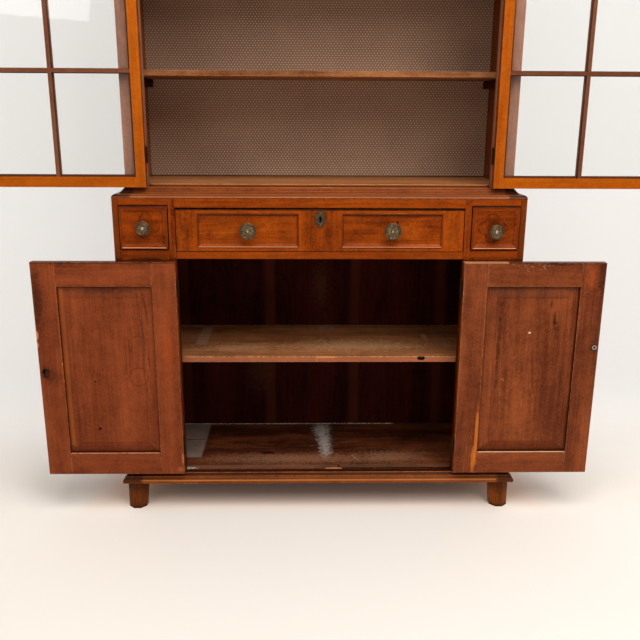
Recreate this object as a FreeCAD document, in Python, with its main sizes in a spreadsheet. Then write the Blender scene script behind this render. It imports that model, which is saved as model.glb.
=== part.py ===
# A glazed press in two parts: a base with three drawers over a cupboard, and a glazed case on top.
# It stands as photographed: all four doors swung right back, all three drawers shut.
# Millimetres. X runs to the right, Y to the back, Z up. The origin is on the floor, under the
# middle of the whole piece.
import FreeCAD, Part
import os
import Sketcher

# The driving sizes. Every other size and place is worked out from these.
SIZES = {
    # the base case
    "case_width": 1220.0,
    "case_depth": 410.0,
    "waist_height": 1000.0,
    "skirt_height": 92.0,
    "side_thick": 18.0,
    "frame_thick": 24.0,
    "post_width": 20.0,
    "sill_height": 31.5,
    "sill_thick": 21.0,
    "bottom_thick": 18.0,
    "top_board_thick": 11.0,
    "top_board_round": 10.0,
    "back_thick": 12.0,
    "back_board_width": 305.0,
    "board_gap": 1.0,
    "edge_ease": 0.8,
    # the drawer openings, counted down from the waist
    "wide_rail_above": 28.0,
    "wide_opening": 130.0,
    "wide_rail_below": 21.0,
    "small_rail_above": 20.0,
    "small_opening": 132.0,
    "small_opening_width": 144.0,
    "small_rail_below": 23.5,
    # the fixed flanks beside the cupboard doors
    "flank_rail": 60.0,
    "flank_stile": 30.0,
    "flank_panel_thick": 8.0,
    "flank_panel_sink": 6.0,
    # the shelf in the cupboard and what carries it
    "shelf_height": 505.0,
    "shelf_thick": 18.0,
    "shelf_setback": 30.0,
    "cleat_width": 20.0,
    "cleat_height": 24.0,
    # the feet
    "foot_top": 63.0,
    "foot_bottom": 56.0,
    "foot_outset": 8.0,
    # the mouldings
    "base_mould_height": 32.0,
    "base_mould_depth": 18.0,
    "waist_mould_depth": 16.0,
    "cornice_height": 78.0,
    "cornice_depth": 50.0,
    "cornice_rise": 30.0,
    # the glazed case
    "upper_side_step": 35.0,
    "upper_setback": 40.0,
    "upper_height": 1060.0,
    "upper_side_thick": 14.0,
    "upper_back_step": 30.0,
    "upper_frame_thick": 22.0,
    "upper_stile_width": 67.0,
    "upper_floor_thick": 17.5,
    "upper_floor_rise": 8.0,
    "upper_floor_play": 0.5,
    "upper_top_thick": 18.0,
    "head_rail_height": 90.0,
    "upper_shelf_thick": 16.0,
    "upper_shelf_setback": 38.0,
    "paper_thick": 0.5,
    "paper_start": 2.5,
    # the doors
    "hinge_gap": 1.5,
    "hinge_proud": 4.0,
    "meeting_gap": 2.0,
    "door_top_gap": 4.5,
    "door_sill_gap": 11.0,
    "lower_stile": 72.0,
    "lower_top_rail": 73.5,
    "lower_bottom_rail": 73.0,
    "panel_tongue": 8.0,
    "panel_tongue_thick": 6.0,
    "panel_sink": 8.0,
    "panel_field_thick": 13.0,
    "panel_bevel": 26.0,
    "panel_play": 0.2,
    "glazed_gap": 1.5,
    "glazed_stile": 34.0,
    "glazed_top_rail": 45.0,
    "glazed_bottom_rail": 36.0,
    "glazing_rebate": 6.0,
    "glazing_lip": 12.0,
    "bar_width": 14.0,
    "bar_fin": 10.0,
    "pane_thick": 3.0,
    "pane_play": 1.0,
    # the hinges
    "leaf_thick": 1.4,
    "leaf_depth": 20.0,
    "knuckle_radius": 3.8,
    "pin_radius": 1.8,
    "pin_play": 0.05,
    "knuckle_play": 0.3,
    "lower_leaf_height": 50.0,
    "lower_hinge_inset": 82.0,
    "upper_leaf_height": 45.0,
    "upper_hinge_inset": 92.0,
    "leaf_play": 0.1,
    # the keyhole and the catch ring of the cupboard doors
    "keyhole_radius": 2.6,
    "keyhole_slot": 3.2,
    "keyhole_drop": 10.0,
    "stile_keyhole_inset": 19.0,
    "catch_radius": 7.0,
    "catch_bore": 4.0,
    "catch_thick": 2.0,
    "catch_inset": 13.0,
    "catch_above_middle": 78.0,
    # the drawers
    "wide_front_thick": 22.0,
    "small_front_thick": 20.0,
    "small_front_proud": 4.0,
    "drawer_side_gap": 1.5,
    "wide_top_gap": 3.0,
    "small_top_gap": 1.5,
    "drawer_foot_gap": 1.0,
    "slide_gap": 0.3,
    "drawer_side_thick": 10.0,
    "drawer_back_gap": 14.0,
    "drawer_back_thick": 10.0,
    "drawer_bottom_thick": 6.0,
    "drawer_bottom_rise": 8.0,
    "drawer_side_drop": 8.0,
    "runner_width": 14.0,
    "runner_height": 16.0,
    "wide_end_stile": 65.5,
    "wide_middle_stile": 133.0,
    "wide_edge_rail": 16.5,
    "wide_panel_sink": 5.0,
    "small_bead": 11.0,
    "small_panel_sink": 5.0,
    "moulding_slope": 7.0,
    # the knobs
    "wide_knob_radius": 25.0,
    "small_knob_radius": 21.5,
    "right_knob_drop": 8.0,
    "knob_reach": 24.0,
    "knob_neck": 8.0,
    "knob_foot": 11.0,
    "knob_foot_thick": 3.0,
    "knob_rim_thick": 5.0,
    "knob_dish": 2.0,
    "knob_boss": 4.0,
    "knob_boss_height": 1.2,
    "stem_radius": 3.0,
    "stem_play": 0.1,
    "stem_past": 7.0,
    "nut_radius": 7.0,
    "nut_thick": 4.0,
    # the drawer lock and its oval plate
    "plate_width": 31.0,
    "plate_height": 48.5,
    "plate_thick": 1.4,
    "plate_rim": 4.0,
    "plate_rim_thick": 1.0,
    "plate_below_edge": 28.5,
    "lock_width": 64.0,
    "lock_height": 52.0,
    "lock_thick": 11.0,
    "lock_play": 0.2,
    "bolt_width": 18.0,
    "bolt_thick": 4.0,
    "bolt_height": 28.0,
    "bolt_throw": 9.0,
    "bolt_play": 0.1,
    "bolt_shy": 1.0,
    "mortise_play": 1.0,
    # how far a cut runs past what it cuts
    "overrun": 5.0,
}

# Outlines of the mouldings as shares of a moulding's own depth and height, and how far the sides of
# an outline bulge, as shares of half their chords.
BASE_PROFILE_SHARES = [(0, 0), (0.92, 0), (1, 0.1), (0.74, 0.54), (0.6, 0.56), (0.56, 0.72), (0.2, 0.94),
                       (0.12, 1), (0, 1)]
BASE_BULGE_SHARES = {2: 0.3, 5: -0.25}
WAIST_PROFILE_SHARES = [(0, 0), (1, 0), (1, 0.04), (0.8, 0.25), (0.74, 0.25), (0.56, 0.5), (0.5, 0.5),
                        (0.32, 0.75), (0.26, 0.75), (0.08, 1), (0, 1)]
WAIST_BULGE_SHARES = {2: 0.35, 4: 0.35, 6: 0.35, 8: 0.35}
CORNICE_PROFILE_SHARES = [(0, 0), (0.08, 0), (0.14, 0.1), (0.22, 0.12), (0.84, 0.74), (0.94, 0.76), (1, 0.84),
                          (1, 1), (0, 1)]
CORNICE_BULGE_SHARES = {1: 0.5, 3: -0.4, 5: 0.4}
# A foot's cant as a share of its side, a pin's head of its knuckle, and the roundings of a knob's
# face and of the keyhole plate.
FOOT_CANT_SHARE = 0.3
PIN_HEAD_SHARE = 0.75
KNOB_ROUND_SHARE = 0.3
KNOB_BOSS_SHARE = 0.6
KNOB_BULGE_SHARES = {6: -0.3}
OVAL_BULGE_SHARE = 0.42

doc = FreeCAD.newDocument("jackson_press")
sheet = doc.addObject("Spreadsheet::Sheet", "Sizes")
for row, (alias, number) in enumerate(SIZES.items(), start=1):
    sheet.set(f"A{row}", str(number))
    sheet.setAlias(f"A{row}", alias)
doc.recompute()


class Length:
    """A length in millimetres together with the formula that the document keeps for it."""

    def __init__(self, value, formula):
        self.value = value
        self.formula = formula

    def __add__(self, other):
        other = length(other)
        return Length(self.value + other.value, f"({self.formula} + {other.formula})")

    def __radd__(self, other):
        return length(other) + self

    def __sub__(self, other):
        other = length(other)
        return Length(self.value - other.value, f"({self.formula} - {other.formula})")

    def __rsub__(self, other):
        return length(other) - self

    def __mul__(self, share):
        return Length(self.value * share, f"({self.formula} * {share})")

    def __rmul__(self, share):
        return self * share

    def __truediv__(self, share):
        return Length(self.value / share, f"({self.formula} / {share})")

    def __neg__(self):
        return Length(-self.value, f"(-{self.formula})")


def length(value):
    """Zero, or a number that is already a length, as a Length."""
    return value if isinstance(value, Length) else Length(value, str(value))


class Sheet:
    """The sheet's sizes by name, each as a Length."""


s = Sheet()
for alias in SIZES:
    setattr(s, alias, Length(sheet.get(alias), f"Sizes.{alias}"))


def bind(obj, prop, value):
    """Tie one property of an object to a formula of the sheet."""
    obj.setExpression(prop, length(value).formula)


def new_body(label):
    body = doc.addObject("PartDesign::Body", label)
    body.Label = label
    return body


def block(body, low, high, kind="Additive"):
    """Add a box to a body, or cut one from it, between two corners."""
    box = body.newObject(f"PartDesign::{kind}Box", f"{body.Name}_box")
    for prop, start, end in zip(("Length", "Width", "Height"), low, high):
        bind(box, prop, end - start)
    for axis, start in zip("xyz", low):
        bind(box, f"Placement.Base.{axis}", start)
    return box


def wedge(body, y_near, near, y_far, far, kind="Additive"):
    """Add or cut a block whose section goes from one rectangle (x, z, x, z) to another along Y."""
    tool = body.newObject(f"PartDesign::{kind}Wedge", f"{body.Name}_wedge")
    bind(tool, "Ymin", y_near)
    bind(tool, "Ymax", y_far)
    for prop, value in zip(("Xmin", "Zmin", "Xmax", "Zmax"), near):
        bind(tool, prop, value)
    for prop, value in zip(("X2min", "Z2min", "X2max", "Z2max"), far):
        bind(tool, prop, value)
    return tool


def rod(body, x, y_start, y_end, z, radius, kind="Additive"):
    """Add or cut a round rod that lies along Y."""
    tool = body.newObject(f"PartDesign::{kind}Cylinder", f"{body.Name}_rod")
    bind(tool, "Radius", radius)
    bind(tool, "Height", y_end - y_start)
    tool.Placement.Rotation = FreeCAD.Rotation(FreeCAD.Vector(1, 0, 0), -90)
    for axis, value in zip("xyz", (x, y_start, z)):
        bind(tool, f"Placement.Base.{axis}", value)
    return tool


def ease_edges(body):
    """Take the sharpness off every edge that the body has so far."""
    tip = body.Tip
    chamfer = body.newObject("PartDesign::Chamfer", f"{body.Name}_ease")
    chamfer.Base = (tip, [""])
    chamfer.UseAllEdges = True
    bind(chamfer, "Size", s.edge_ease)


def board(label, low, high):
    """A plain board with eased edges, between two corners."""
    body = new_body(label)
    block(body, low, high)
    ease_edges(body)
    return body


def group(label, pieces):
    """Separate pieces of one kind that share a name."""
    together = doc.addObject("Part::Compound", label)
    together.Label = label
    together.Links = pieces
    return together


def span(side, near, far):
    """Low and high X of what reaches from near to far on the left (-1) or the right (+1)."""
    return (near, far) if side > 0 else (-far, -near)


SIDES = (("left", -1), ("right", 1))

# Planes and heights that several pieces share
front_reach = s.hinge_proud * 2 + s.frame_thick + s.catch_thick
front = (front_reach - s.case_depth) / 2
back = front + s.case_depth
back_inner = back - s.back_thick
half_case = s.case_width / 2
half_inside = half_case - s.side_thick
post_outer = half_inside - s.small_opening_width
half_doorway = post_outer - s.post_width
frame_back = front + s.frame_thick
sill_top = s.skirt_height + s.sill_height
wide_top = s.waist_height - s.wide_rail_above
wide_foot = wide_top - s.wide_opening
doorway_top = wide_foot - s.wide_rail_below
small_top = s.waist_height - s.small_rail_above
small_foot = small_top - s.small_opening
flank_top = small_foot - s.small_rail_below
deck = s.waist_height + s.top_board_thick
upper_front = front + s.upper_setback
upper_frame_back = upper_front + s.upper_frame_thick
half_upper = half_case - s.upper_side_step
half_upper_inside = half_upper - s.upper_side_thick
half_upper_doorway = half_upper - s.upper_stile_width
upper_top = deck + s.upper_height
upper_floor_foot = deck + s.upper_floor_thick
upper_floor_top = upper_floor_foot + s.upper_floor_rise
head_rail_foot = upper_top - s.head_rail_height
upper_back = back - s.upper_back_step
upper_back_inner = upper_back - s.back_thick
paper_face = upper_back_inner - s.paper_thick

nodes = []


# The base case

for name, side in SIDES:
    low, high = span(side, half_inside, half_case)
    nodes.append(board(f"base_side_{name}", (low, front, s.skirt_height), (high, back, s.waist_height)))

nodes.append(board("sill_rail", (-half_inside, front, s.skirt_height),
                   (half_inside, front + s.sill_thick, sill_top)))
nodes.append(board("base_bottom", (-half_inside, front + s.sill_thick, sill_top - s.bottom_thick),
                   (half_inside, back_inner, sill_top)))


def hinge_heights(door_low, door_high, inset):
    """Where the middles of a door's two hinges are."""
    return (door_low + inset, door_high - inset)


lower_door_low = sill_top + s.door_sill_gap
lower_door_high = doorway_top - s.door_top_gap
glazed_door_low = upper_floor_foot + s.glazed_gap
glazed_door_high = head_rail_foot - s.glazed_gap
lower_hinges = hinge_heights(lower_door_low, lower_door_high, s.lower_hinge_inset)
upper_hinges = hinge_heights(glazed_door_low, glazed_door_high, s.upper_hinge_inset)


def cut_leaf_seats(body, side, edge, y_start, y_end, heights, leaf_height):
    """Cut the shallow seats of the hinge leaves into an edge that faces the hinge line."""
    low, high = span(side, edge - s.overrun, edge + s.leaf_thick + s.leaf_play)
    half = leaf_height / 2 + s.leaf_play
    for middle in heights:
        block(body, (low, y_start, middle - half), (high, y_end, middle + half), "Subtractive")


posts = []
for name, side in SIDES:
    low, high = span(side, half_doorway, post_outer)
    post = board(f"post_{name}", (low, front, sill_top), (high, frame_back, s.waist_height))
    seat_end = front - s.hinge_proud + s.leaf_depth + s.leaf_play
    cut_leaf_seats(post, side, half_doorway, front - s.overrun, seat_end, lower_hinges,
                   s.lower_leaf_height)
    posts.append(post)
nodes.append(group("posts", posts))

partitions = []
for name, side in SIDES:
    low, high = span(side, half_doorway, post_outer)
    partitions.append(board(f"partition_{name}", (low, frame_back, doorway_top),
                            (high, back_inner, s.waist_height)))
nodes.append(group("drawer_partitions", partitions))

# The wide top rail has a mortise for the bolt of the drawer's lock.
lock_front = front + s.wide_front_thick - s.lock_thick
bolt_front = lock_front + (s.lock_thick - s.bolt_thick) / 2
top_rails = [board("top_rail_middle", (-half_doorway, front, wide_top),
                   (half_doorway, frame_back, s.waist_height))]
half_mortise = s.bolt_width / 2 + s.mortise_play
block(top_rails[0], (-half_mortise, bolt_front - s.mortise_play, wide_top - s.overrun),
      (half_mortise, bolt_front + s.bolt_thick + s.mortise_play, wide_top + s.bolt_throw), "Subtractive")
drawer_rails = [board("drawer_rail_middle", (-half_doorway, front, doorway_top),
                      (half_doorway, frame_back, wide_foot))]
for name, side in SIDES:
    low, high = span(side, post_outer, half_inside)
    top_rails.append(board(f"top_rail_{name}", (low, front, small_top),
                           (high, frame_back, s.waist_height)))
    drawer_rails.append(board(f"drawer_rail_{name}", (low, front, flank_top),
                              (high, frame_back, small_foot)))
nodes.append(group("top_rail", top_rails))
nodes.append(group("drawer_rail", drawer_rails))


def flank(name, side):
    """A fixed frame and panel beside the doorway."""
    panel_low = sill_top + s.flank_rail
    panel_high = flank_top - s.flank_rail
    inner, outer = post_outer, half_inside
    places = {
        "rail_low": (inner, outer, front, frame_back, sill_top, panel_low),
        "rail_high": (inner, outer, front, frame_back, panel_high, flank_top),
        "stile_in": (inner, inner + s.flank_stile, front, frame_back, panel_low, panel_high),
        "stile_out": (outer - s.flank_stile, outer, front, frame_back, panel_low, panel_high),
        "panel": (inner + s.flank_stile, outer - s.flank_stile, front + s.flank_panel_sink,
                  front + s.flank_panel_sink + s.flank_panel_thick, panel_low, panel_high),
    }
    pieces = []
    for part, (near, far, y_low, y_high, z_low, z_high) in places.items():
        low, high = span(side, near, far)
        pieces.append(board(f"flank_{name}_{part}", (low, y_low, z_low), (high, y_high, z_high)))
    return pieces


nodes.append(group("flanks", flank("left", -1) + flank("right", 1)))

runners = []
for name, side in SIDES:
    for place, near, top in (("wide", half_doorway - s.runner_width, wide_foot),
                             ("inner", post_outer, small_foot),
                             ("outer", half_inside - s.runner_width, small_foot)):
        low, high = span(side, near, near + s.runner_width)
        runners.append(board(f"runner_{name}_{place}", (low, frame_back, top - s.runner_height),
                             (high, back_inner, top)))
nodes.append(group("drawer_runners", runners))

nodes.append(board("cupboard_shelf", (-half_inside, front + s.shelf_setback, s.shelf_height - s.shelf_thick),
                   (half_inside, back_inner, s.shelf_height)))


def back_boards(label, half_width, y_back, z_low, z_high):
    """Upright boards side by side across a back that ends at y_back, with a joint half a board either
    side of the middle and the outermost boards cut to what is left."""
    joints = []
    joint = s.back_board_width / 2
    while joint.value + s.back_thick.value < half_width.value:
        joints.append(joint)
        joint = joint + s.back_board_width
    half_gap = s.board_gap / 2
    middles = [-joint for joint in reversed(joints)] + joints
    lows = [-half_width] + [middle + half_gap for middle in middles]
    highs = [middle - half_gap for middle in middles] + [half_width]
    edges = zip(lows, highs)
    pieces = []
    for place, (low, high) in enumerate(edges, start=1):
        pieces.append(board(f"{label}_{place}", (low, y_back - s.back_thick, z_low), (high, y_back, z_high)))
    return group(label, pieces)


nodes.append(back_boards("base_back_boards", half_inside, back, s.skirt_height, s.waist_height))

top_body = new_body("base_top")
top_board = block(top_body, (-half_case, front, s.waist_height), (half_case, back, deck))
doc.recompute()


def edges_where(shape, test):
    """Names of the straight edges whose middle passes the test."""
    found = []
    for number, edge in enumerate(shape.Edges, start=1):
        if test(edge.CenterOfMass):
            found.append(f"Edge{number}")
    return found


def on_rounded_rim(middle):
    """The top edges at the front and at both ends."""
    at_top = abs(middle.z - deck.value) < s.edge_ease.value
    at_back = abs(middle.y - back.value) < s.edge_ease.value
    inside = abs(middle.x) < s.edge_ease.value
    return at_top and not at_back and (not inside or middle.y < 0)


top_round = top_body.newObject("PartDesign::Fillet", "base_top_round")
top_round.Base = (top_board, edges_where(top_board.Shape, on_rounded_rim))
bind(top_round, "Radius", s.top_board_round)
nodes.append(top_body)


# The outlines that are swept or turned

def plane_of(body, role):
    for feature in body.Origin.OriginFeatures:
        if feature.Role == role:
            return feature
    raise ValueError(role)


def hold(sketch, geometry, point, axis, value):
    """Hold one point of a sketch at a length from the sketch's origin along one axis."""
    value = length(value)
    if value.value == 0:
        line = -2 if axis == "X" else -1
        sketch.addConstraint(Sketcher.Constraint("PointOnObject", geometry, point, line))
        return
    ends = (-1, 1, geometry, point) if value.value > 0 else (geometry, point, -1, 1)
    number = sketch.addConstraint(Sketcher.Constraint(f"Distance{axis}", *ends, abs(value.value)))
    formula = value.formula if value.value > 0 else (-value).formula
    sketch.setExpression(f"Constraints[{number}]", formula)


def outline(body, role, corners, rounds=None, z_offset=None):
    """A closed outline through the corners. rounds maps a corner's number to how far the side that
    leaves it bulges: a share of its half chord, positive to the left of the way it runs."""
    rounds = rounds or {}
    sketch = body.newObject("Sketcher::SketchObject", f"{body.Name}_outline")
    sketch.AttachmentSupport = [(plane_of(body, role), "")]
    sketch.MapMode = "FlatFace"
    if z_offset is not None:
        bind(sketch, "AttachmentOffset.Base.z", z_offset)
    points = [FreeCAD.Vector(length(u).value, length(v).value, 0) for u, v in corners]
    count = len(points)
    for number, start in enumerate(points):
        end = points[(number + 1) % count]
        if number in rounds:
            chord = end - start
            sideways = FreeCAD.Vector(-chord.y, chord.x, 0) * (rounds[number] / 2)
            middle = (start + end) / 2 + sideways
            # A sketch keeps its arcs anticlockwise, so one that bulges to the left is drawn backwards.
            ends = (start, end) if rounds[number] < 0 else (end, start)
            sketch.addGeometry(Part.Arc(ends[0], middle, ends[1]), False)
        else:
            sketch.addGeometry(Part.LineSegment(start, end), False)
    first = [2 if rounds.get(number, 0) > 0 else 1 for number in range(count)]
    last = [1 if rounds.get(number, 0) > 0 else 2 for number in range(count)]
    for number, (u, v) in enumerate(corners):
        hold(sketch, number, first[number], "X", u)
        hold(sketch, number, first[number], "Y", v)
        following = (number + 1) % count
        sketch.addConstraint(Sketcher.Constraint("Coincident", number, last[number],
                                                 following, first[following]))
    for number, bulge in rounds.items():
        (u0, v0), (u1, v1) = corners[number], corners[(number + 1) % count]
        radius_share = (1 + bulge * bulge) / (4 * abs(bulge))
        radius = sketch.Geometry[number].Radius
        held = sketch.addConstraint(Sketcher.Constraint("Radius", number, radius))
        run, rise = length(u1) - u0, length(v1) - v0
        square = f"({run.formula}) ^ 2 + ({rise.formula}) ^ 2"
        sketch.setExpression(f"Constraints[{held}]", f"sqrt({square}) * {radius_share}")
    return sketch


def pad(body, sketch, depth, both_ways=False):
    feature = body.newObject("PartDesign::Pad", f"{body.Name}_pad")
    feature.Profile = sketch
    bind(feature, "Length", depth)
    if both_ways:
        feature.SideType = "Symmetric"
    return feature


def cut_corner(body, x, y, reach, side, keep_front):
    """Mitre a moulding at the corner (x, y): cut the triangle outside the slanting line."""
    corner = (x * side, y)
    tip = ((x + reach) * side, y - reach)
    third = ((x + reach) * side, y) if keep_front else (x * side, y - reach)
    sketch = outline(body, "XY_Plane", [corner, tip, third])
    pocket = body.newObject("PartDesign::Pocket", f"{body.Name}_mitre")
    pocket.Profile = sketch
    pocket.SideType = "Symmetric"
    pocket.Type = "ThroughAll"
    return pocket


def moulding(label, profile_shares, rounds, half_width, face_y, y_back, z_low, depth, height):
    """A moulding round the front and both sides, as far as y_back, in three mitred lengths. The profile
    is given as pairs: how far out from the face, how far up from z_low."""
    profile = [(depth * out_share, height * up_share) for out_share, up_share in profile_shares]
    pieces = []
    length_front = new_body(f"{label}_front")
    corners = [(face_y - out, z_low + up) for out, up in profile]
    sketch = outline(length_front, "YZ_Plane", corners, rounds)
    pad(length_front, sketch, (half_width + depth) * 2, both_ways=True)
    reach = depth + s.overrun
    for _, side in SIDES:
        cut_corner(length_front, half_width, face_y, reach, side, keep_front=True)
    pieces.append(length_front)
    for name, side in SIDES:
        body = new_body(f"{label}_{name}")
        corners = [((half_width + out) * side, z_low + up) for out, up in profile]
        turned = {number: bulge * -side for number, bulge in rounds.items()}
        sketch = outline(body, "XZ_Plane", corners, turned)
        feature = pad(body, sketch, y_back - face_y + depth)
        feature.Reversed = True
        bind(sketch, "AttachmentOffset.Base.z", depth - face_y)
        cut_corner(body, half_width, face_y, reach, side, keep_front=False)
        pieces.append(body)
    return group(label, pieces)


nodes.append(moulding("base_moulding", BASE_PROFILE_SHARES, BASE_BULGE_SHARES, half_case, front, back,
                      s.skirt_height, s.base_mould_depth, s.base_mould_height))
nodes.append(moulding("waist_moulding", WAIST_PROFILE_SHARES, WAIST_BULGE_SHARES, half_upper,
                      upper_front, upper_back, deck, s.waist_mould_depth, s.upper_floor_thick))


def octagon(side_x, side_y, width):
    """A square with canted corners, a little proud of the case at its side and front."""
    outer, foremost = half_case + s.foot_outset, front - s.foot_outset
    x_low, x_high = span(side_x, outer - width, outer)
    y_low, y_high = (foremost, foremost + width) if side_y < 0 else (back - width, back)
    cant = width * FOOT_CANT_SHARE
    return [(x_low + cant, y_low), (x_high - cant, y_low), (x_high, y_low + cant),
            (x_high, y_high - cant), (x_high - cant, y_high), (x_low + cant, y_high),
            (x_low, y_high - cant), (x_low, y_low + cant)]


for name, side in SIDES:
    for place, side_y in (("front", -1), ("back", 1)):
        foot = new_body(f"foot_{place}_{name}")
        sole = outline(foot, "XY_Plane", octagon(side, side_y, s.foot_bottom))
        head = outline(foot, "XY_Plane", octagon(side, side_y, s.foot_top), z_offset=s.skirt_height)
        loft = foot.newObject("PartDesign::AdditiveLoft", f"{foot.Name}_loft")
        loft.Profile = sole
        loft.Sections = [head]
        loft.Ruled = True
        nodes.append(foot)


# The glazed case

for name, side in SIDES:
    low, high = span(side, half_upper_inside, half_upper)
    nodes.append(board(f"upper_side_{name}", (low, upper_frame_back, deck), (high, upper_back, upper_top)))
for name, side in SIDES:
    low, high = span(side, half_upper_doorway, half_upper)
    stile = board(f"upper_stile_{name}", (low, upper_front, deck), (high, upper_frame_back, upper_top))
    seat_end = upper_front - s.hinge_proud + s.leaf_depth + s.leaf_play
    cut_leaf_seats(stile, side, half_upper_doorway, upper_front - s.overrun, seat_end, upper_hinges,
                   s.upper_leaf_height)
    nodes.append(stile)

floor_body = new_body("upper_floor")
floor_step = upper_frame_back + s.upper_floor_play
block(floor_body, (-half_upper_inside, floor_step, deck),
      (half_upper_inside, upper_back_inner, upper_floor_top))
block(floor_body, (-half_upper_doorway, upper_front, deck),
      (half_upper_doorway, floor_step, upper_floor_foot))
nodes.append(floor_body)
nodes.append(board("upper_top", (-half_upper_inside, upper_frame_back, upper_top - s.upper_top_thick),
                   (half_upper_inside, upper_back_inner, upper_top)))
nodes.append(board("head_rail", (-half_upper_doorway, upper_front, head_rail_foot),
                   (half_upper_doorway, upper_frame_back, upper_top)))
nodes.append(back_boards("upper_back_boards", half_upper_inside, upper_back, deck, upper_top))

paper = new_body("lining_paper")
block(paper, (-half_upper_inside, paper_face, upper_floor_top + s.paper_start),
      (half_upper_inside, upper_back_inner, upper_top - s.upper_top_thick))
nodes.append(paper)

cornice_foot = upper_top + s.cornice_rise - s.cornice_height
nodes.append(moulding("cornice", CORNICE_PROFILE_SHARES, CORNICE_BULGE_SHARES, half_upper, upper_front,
                      upper_back, cornice_foot, s.cornice_depth, s.cornice_height))

# The shelves of the glazed case stand level with the glazing bars.
sight_low = glazed_door_low + s.glazed_bottom_rail
sight_high = glazed_door_high - s.glazed_top_rail
PANE_ROWS = 3
pane_height = (sight_high - sight_low - s.bar_width * (PANE_ROWS - 1)) / PANE_ROWS
bar_feet = [sight_low + pane_height * row + s.bar_width * (row - 1) for row in range(1, PANE_ROWS)]
shelf_front = upper_frame_back + s.upper_shelf_setback
upper_shelves = []
cleats = []
for number, bar_foot in enumerate(bar_feet, start=1):
    shelf_foot = bar_foot + (s.bar_width - s.upper_shelf_thick) / 2
    upper_shelves.append(board(f"upper_shelf_{number}", (-half_upper_inside, shelf_front, shelf_foot),
                               (half_upper_inside, paper_face, shelf_foot + s.upper_shelf_thick)))
    for name, side in SIDES:
        low, high = span(side, half_upper_inside - s.cleat_width, half_upper_inside)
        cleats.append(board(f"upper_cleat_{name}_{number}", (low, shelf_front, shelf_foot - s.cleat_height),
                            (high, paper_face, shelf_foot)))
nodes.append(group("upper_shelves", upper_shelves))
shelf_foot = s.shelf_height - s.shelf_thick
for name, side in SIDES:
    low, high = span(side, half_inside - s.cleat_width, half_inside)
    cleats.append(board(f"cupboard_cleat_{name}", (low, front + s.shelf_setback, shelf_foot - s.cleat_height),
                        (high, back_inner, shelf_foot)))
nodes.append(group("shelf_cleats", cleats))


# The hinges: a fixed leaf with two knuckles, a moving leaf with one between them, and a pin

def upright(body, x, y, z_low, z_high, radius, kind="Additive"):
    """Add or cut an upright round rod."""
    tool = body.newObject(f"PartDesign::{kind}Cylinder", f"{body.Name}_upright")
    bind(tool, "Radius", radius)
    bind(tool, "Height", z_high - z_low)
    for axis, value in zip("xyz", (x, y, z_low)):
        bind(tool, f"Placement.Base.{axis}", value)
    return tool


def leaf(label, side, edge, axis_y, middle, height, fixed):
    """One leaf of a hinge: its plate, and its own knuckles round the pin."""
    body = new_body(label)
    axis_x = (edge - s.hinge_gap / 2) * side
    x_low, x_high = span(side, edge, edge + s.leaf_thick)
    clear = s.knuckle_radius + s.knuckle_play
    foot, third = middle - height / 2, height / 3
    if fixed:
        plate, tab = (axis_y + clear, axis_y + s.leaf_depth), (axis_y, axis_y + clear)
        knuckles = [(foot, foot + third - s.knuckle_play), (foot + third * 2 + s.knuckle_play, foot + height)]
    else:
        plate, tab = (axis_y - s.leaf_depth, axis_y - clear), (axis_y - clear, axis_y)
        knuckles = [(foot + third, foot + third * 2)]
    block(body, (x_low, plate[0], foot), (x_high, plate[1], foot + height))
    for low, high in knuckles:
        block(body, (x_low, tab[0], low), (x_high, tab[1], high))
        upright(body, axis_x, axis_y, low, high, s.knuckle_radius)
    upright(body, axis_x, axis_y, foot - s.overrun, foot + height + s.overrun,
            s.pin_radius + s.pin_play, "Subtractive")
    return body


def hinge_pin(label, side, edge, axis_y, middle, height):
    """A pin with a flat head at each end of the knuckles."""
    body = new_body(label)
    axis_x = (edge - s.hinge_gap / 2) * side
    foot, top = middle - height / 2, middle + height / 2
    head = s.pin_radius
    upright(body, axis_x, axis_y, foot - head, top + head, s.pin_radius)
    for low in (foot - head, top):
        upright(body, axis_x, axis_y, low, low + head, s.knuckle_radius * PIN_HEAD_SHARE)
    return body


fixed_leaves = []
pins = []
door_leaves = {}
HINGED = (("lower", half_doorway, front - s.hinge_proud, lower_hinges, s.lower_leaf_height),
          ("upper", half_upper_doorway, upper_front - s.hinge_proud, upper_hinges, s.upper_leaf_height))
for level, edge, axis_y, heights, leaf_height in HINGED:
    for name, side in SIDES:
        moving = []
        for place, middle in zip(("low", "high"), heights):
            label = f"{level}_{name}_{place}"
            fixed_leaves.append(leaf(f"fixed_leaf_{label}", side, edge, axis_y, middle, leaf_height, True))
            pins.append(hinge_pin(f"pin_{label}", side, edge, axis_y, middle, leaf_height))
            moving.append(leaf(f"leaf_{label}", side, edge, axis_y, middle, leaf_height, False))
        door_leaves[level, name] = moving
nodes.append(group("fixed_hinge_leaves", fixed_leaves))
nodes.append(group("hinge_pins", pins))
for (level, name), moving in door_leaves.items():
    nodes.append(group(f"{level}_{name}_door_hinge_leaves", moving))


def keyhole(body, x, z, y_low, y_high):
    """A round hole with a slot below it, cut through from front to back."""
    rod(body, x, y_low, y_high, z, s.keyhole_radius, "Subtractive")
    half_slot = s.keyhole_slot / 2
    block(body, (x - half_slot, y_low, z - s.keyhole_drop), (x + half_slot, y_high, z), "Subtractive")


# The cupboard doors, opened flat beside the doorway with their insides to the front

lower_width = half_doorway - s.hinge_gap - s.meeting_gap / 2
lower_out = front - s.hinge_proud * 2
lower_in = lower_out - s.frame_thick
panel_back = lower_out - s.panel_sink
tongue_front = panel_back - s.panel_tongue_thick
door_middle = (lower_door_low + lower_door_high) / 2


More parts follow.
